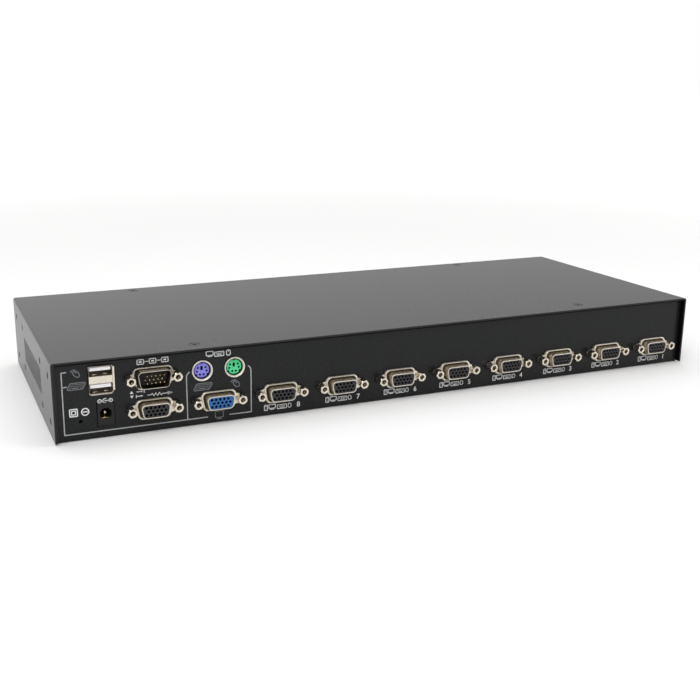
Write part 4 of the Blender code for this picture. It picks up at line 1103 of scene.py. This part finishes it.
# console group: display, keys and pointer
monitor(white, -121.0, 39.8, 3.9, 3.2, 0.36)
small_keys(white, -115.6, 39.5, 5.2, 2.4, 0.34)
white.stroke(rounded(rect(2.2, 3.0, -110.4, 39.7), 0.9, 4), 0.34, closed=True)
white.shape(rect(0.32, 1.0, -110.4, 40.5))
# cascade in and out
white.shape([(-165.2, 22.6), (-163.3, 22.6), (-164.25, 24.2)])
white.stroke([(-161.6, 23.35), (-158.9, 23.35)], 0.36)
white.shape([(-159.2, 22.75), (-158.1, 23.35), (-159.2, 23.95)])
white.stroke([(-157.5, 22.5), (-157.5, 24.2)], 0.36)
white.shape([(-165.2, 21.6), (-164.25, 20.0), (-163.3, 21.6)])
white.stroke([(-161.8, 20.0), (-161.8, 21.7)], 0.36)
white.stroke([(-161.8, 20.85), (-158.9, 20.85)], 0.36)
white.shape([(-159.2, 20.25), (-158.1, 20.85), (-159.2, 21.45)])
white.stroke([(-155.8, 20.85), (-153.8, 20.85), (-153.3, 21.6), (-152.3, 20.1), (-151.3, 21.6), (-150.3, 20.1), (-149.3, 21.6), (-148.3, 20.1), (-147.8, 20.85), (-144.6, 20.85)], 0.34)
white.stroke([(-144.6, 19.9), (-144.6, 21.8)], 0.36)
white.stroke([(-143.6, 20.2), (-143.6, 21.5)], 0.36)
white.stroke([(-142.6, 20.5), (-142.6, 21.2)], 0.36)
# direct current, centre positive
white.stroke(circle(0.95, 20, -181.2, 20.6), 0.30, closed=True)
white.shape(rect(0.95, 0.28, -181.2, 20.6))
white.stroke([(-180.2, 20.6), (-179.6, 20.6)], 0.28)
white.stroke(arc2(-178.3, 20.6, 1.2, 60, 300, 14), 0.34)
white.shape(circle(0.42, 14, -178.2, 20.6))
white.stroke([(-178.1, 20.6), (-176.4, 20.6)], 0.28)
white.stroke(circle(0.95, 20, -175.4, 20.6), 0.30, closed=True)
white.shape(rect(1.0, 0.28, -175.4, 20.6))
white.shape(rect(0.28, 1.0, -175.4, 20.6))
# double square and ring with bar
white.stroke(rounded(rect(3.9, 3.9, -194.9, 15.9), 0.3, 2), 0.5, closed=True)
white.stroke(rounded(rect(2.0, 2.0, -194.9, 15.9), 0.2, 2), 0.45, closed=True)
white.stroke(circle(1.85, 32, -188.9, 15.8), 0.5, closed=True)
white.stroke([(-190.2, 15.8), (-187.6, 15.8)], 0.5)
# each computer port: tower, display, keys, then its number
for k in range(1, 9):
    c = middle("computer_port_%d_shell" % k)
    s0 = -c.x
    tower(white, s0 - 8.6, 5.0, 1.9, 3.0, 0.34)
    monitor(white, s0 - 4.9, 5.0, 3.9, 3.1, 0.36)
    small_keys(white, s0 + 1.0, 4.7, 5.6, 2.3, 0.34)
    white.stroke(rounded(rect(1.8, 2.4, s0 + 5.6, 4.8), 0.75, 4), 0.32, closed=True)
    white.text(str(k), s0 + 11.0, 3.4, 3.0)
white.done()

front = Print("legend_front", ink_white, rear=False)
for k, x in enumerate(button_x):
    front.text(str(k + 1), x, 26.6, 2.8)
front.stroke(arc2(POWER_X, 18.5, 1.8, 125, 415, 22), 0.42)
front.shape(rect(0.42, 2.0, POWER_X, 19.8))
monitor(front, wx, 8.6, 4.6, 4.0, 0.4)
front.done()

# ------------------------------------------------------------------ finishes for the CAD nodes that stay
stay = {"main_board": pcb, "console_board": pcb, "button_board": pcb, "display_module": chip_mat, "ribbon_cable": ribbon_mat, "ribbon_header": housing, "riser_header": housing,
        "main_controller": chip_mat, "video_switch_chip": chip_mat, "heat_sink": alu, "voltage_regulator": chip_mat, "filter_capacitor": can}
for n, m in stay.items():
    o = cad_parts[n]
    if not o.material_slots:
        o.data.materials.append(m)
    for s in o.material_slots:
        s.material = m

# ------------------------------------------------------------------ floor, light
bm = bmesh.new()
S = 6.0
vs = [bm.verts.new(p) for p in ((-S, -S, 0), (S, -S, 0), (S, S, 0), (-S, S, 0))]
bm.faces.new(vs)
me = bpy.data.meshes.new("floor")
bm.to_mesh(me)
bm.free()
floor = bpy.data.objects.new("floor", me)
collection.objects.link(floor)
fm = bpy.data.materials.new("floor_pale")
fm.use_nodes = True
fb = fm.node_tree.nodes["Principled BSDF"]
fb.inputs["Base Color"].default_value = (0.90, 0.90, 0.90, 1)
fb.inputs["Roughness"].default_value = 0.85
fb.inputs["Specular IOR Level"].default_value = 0.2
# the far floor keeps the near floor's paleness, out of the lights' reach
fc = fm.node_tree.nodes.new("ShaderNodeTexCoord")
fd = fm.node_tree.nodes.new("ShaderNodeVectorMath")
fd.operation = "LENGTH"
fr = fm.node_tree.nodes.new("ShaderNodeMapRange")
fr.interpolation_type = "SMOOTHSTEP"
fr.inputs["From Min"].default_value, fr.inputs["From Max"].default_value = 0.45, 2.2
fr.inputs["To Min"].default_value, fr.inputs["To Max"].default_value = 0.0, 0.62
fm.node_tree.links.new(fc.outputs["Object"], fd.inputs[0])
fm.node_tree.links.new(fd.outputs["Value"], fr.inputs["Value"])
fm.node_tree.links.new(fr.outputs["Result"], fb.inputs["Emission Strength"])
fb.inputs["Emission Color"].default_value = (1.0, 1.0, 1.0, 1)
me.materials.append(fm)

world = bpy.data.worlds.new("studio")
scene.world = world
world.use_nodes = True
wt = world.node_tree
bg = wt.nodes["Background"]
coord = wt.nodes.new("ShaderNodeTexCoord")
parts = wt.nodes.new("ShaderNodeSeparateXYZ")
wt.links.new(coord.outputs["Generated"], parts.inputs["Vector"])
ramp = wt.nodes.new("ShaderNodeMapRange")
ramp.interpolation_type = "SMOOTHSTEP"
ramp.inputs["From Min"].default_value, ramp.inputs["From Max"].default_value = -0.10, 0.55
ramp.inputs["To Min"].default_value, ramp.inputs["To Max"].default_value = 1.0, 0.0
wt.links.new(parts.outputs["Y"], ramp.inputs["Value"])
tone = wt.nodes.new("ShaderNodeMix")
tone.data_type = "RGBA"
tone.inputs["A"].default_value = (0.30, 0.30, 0.30, 1)
tone.inputs["B"].default_value = (1.035, 1.02, 1.015, 1)
wt.links.new(ramp.outputs["Result"], tone.inputs["Factor"])
ease = wt.nodes.new("ShaderNodeMapRange")
ease.inputs["From Min"].default_value, ease.inputs["From Max"].default_value = -0.75, -0.05
ease.inputs["To Min"].default_value, ease.inputs["To Max"].default_value = 0.62, 0.93
wt.links.new(parts.outputs["X"], ease.inputs["Value"])
above = wt.nodes.new("ShaderNodeMapRange")
above.interpolation_type = "SMOOTHSTEP"
above.inputs["From Min"].default_value, above.inputs["From Max"].default_value = 0.09, 0.16
wt.links.new(parts.outputs["Z"], above.inputs["Value"])
share = wt.nodes.new("ShaderNodeMix")
share.data_type = "FLOAT"
share.inputs["A"].default_value = 1.0
wt.links.new(above.outputs["Result"], share.inputs["Factor"])
wt.links.new(ease.outputs["Result"], share.inputs["B"])
final = wt.nodes.new("ShaderNodeVectorMath")
final.operation = "SCALE"
wt.links.new(tone.outputs["Result"], final.inputs[0])
wt.links.new(share.outputs["Result"], final.inputs["Scale"])
# the gradient lights and reflects; the backdrop itself is plain white
path = wt.nodes.new("ShaderNodeLightPath")
plain = wt.nodes.new("ShaderNodeMix")
plain.data_type = "RGBA"
plain.inputs["B"].default_value = (1.0, 1.0, 1.0, 1)
wt.links.new(path.outputs["Is Camera Ray"], plain.inputs["Factor"])
wt.links.new(final.outputs["Vector"], plain.inputs["A"])
wt.links.new(plain.outputs["Result"], bg.inputs["Color"])
bg.inputs["Strength"].default_value = 1.0


def area(name, loc, target, size, energy, size_y=None, color=(1, 1, 1)):
    L = bpy.data.lights.new(name, "AREA")
    L.shape = "RECTANGLE"
    L.size, L.size_y = size, size_y or size
    L.energy = energy
    L.color = color
    o = bpy.data.objects.new(name, L)
    o.location = loc
    o.rotation_euler = (Vector(target) - Vector(loc)).to_track_quat("-Z", "Y").to_euler()
    collection.objects.link(o)
    return o


area("key", (0.9, 1.3, 1.5), (0, 0, 0), 1.2, 22)
area("fill", (-1.4, 1.0, 0.9), (0, 0, 0), 1.2, 7)
area("overhead", (0.0, -0.2, 1.9), (0, 0, 0), 1.6, 8)
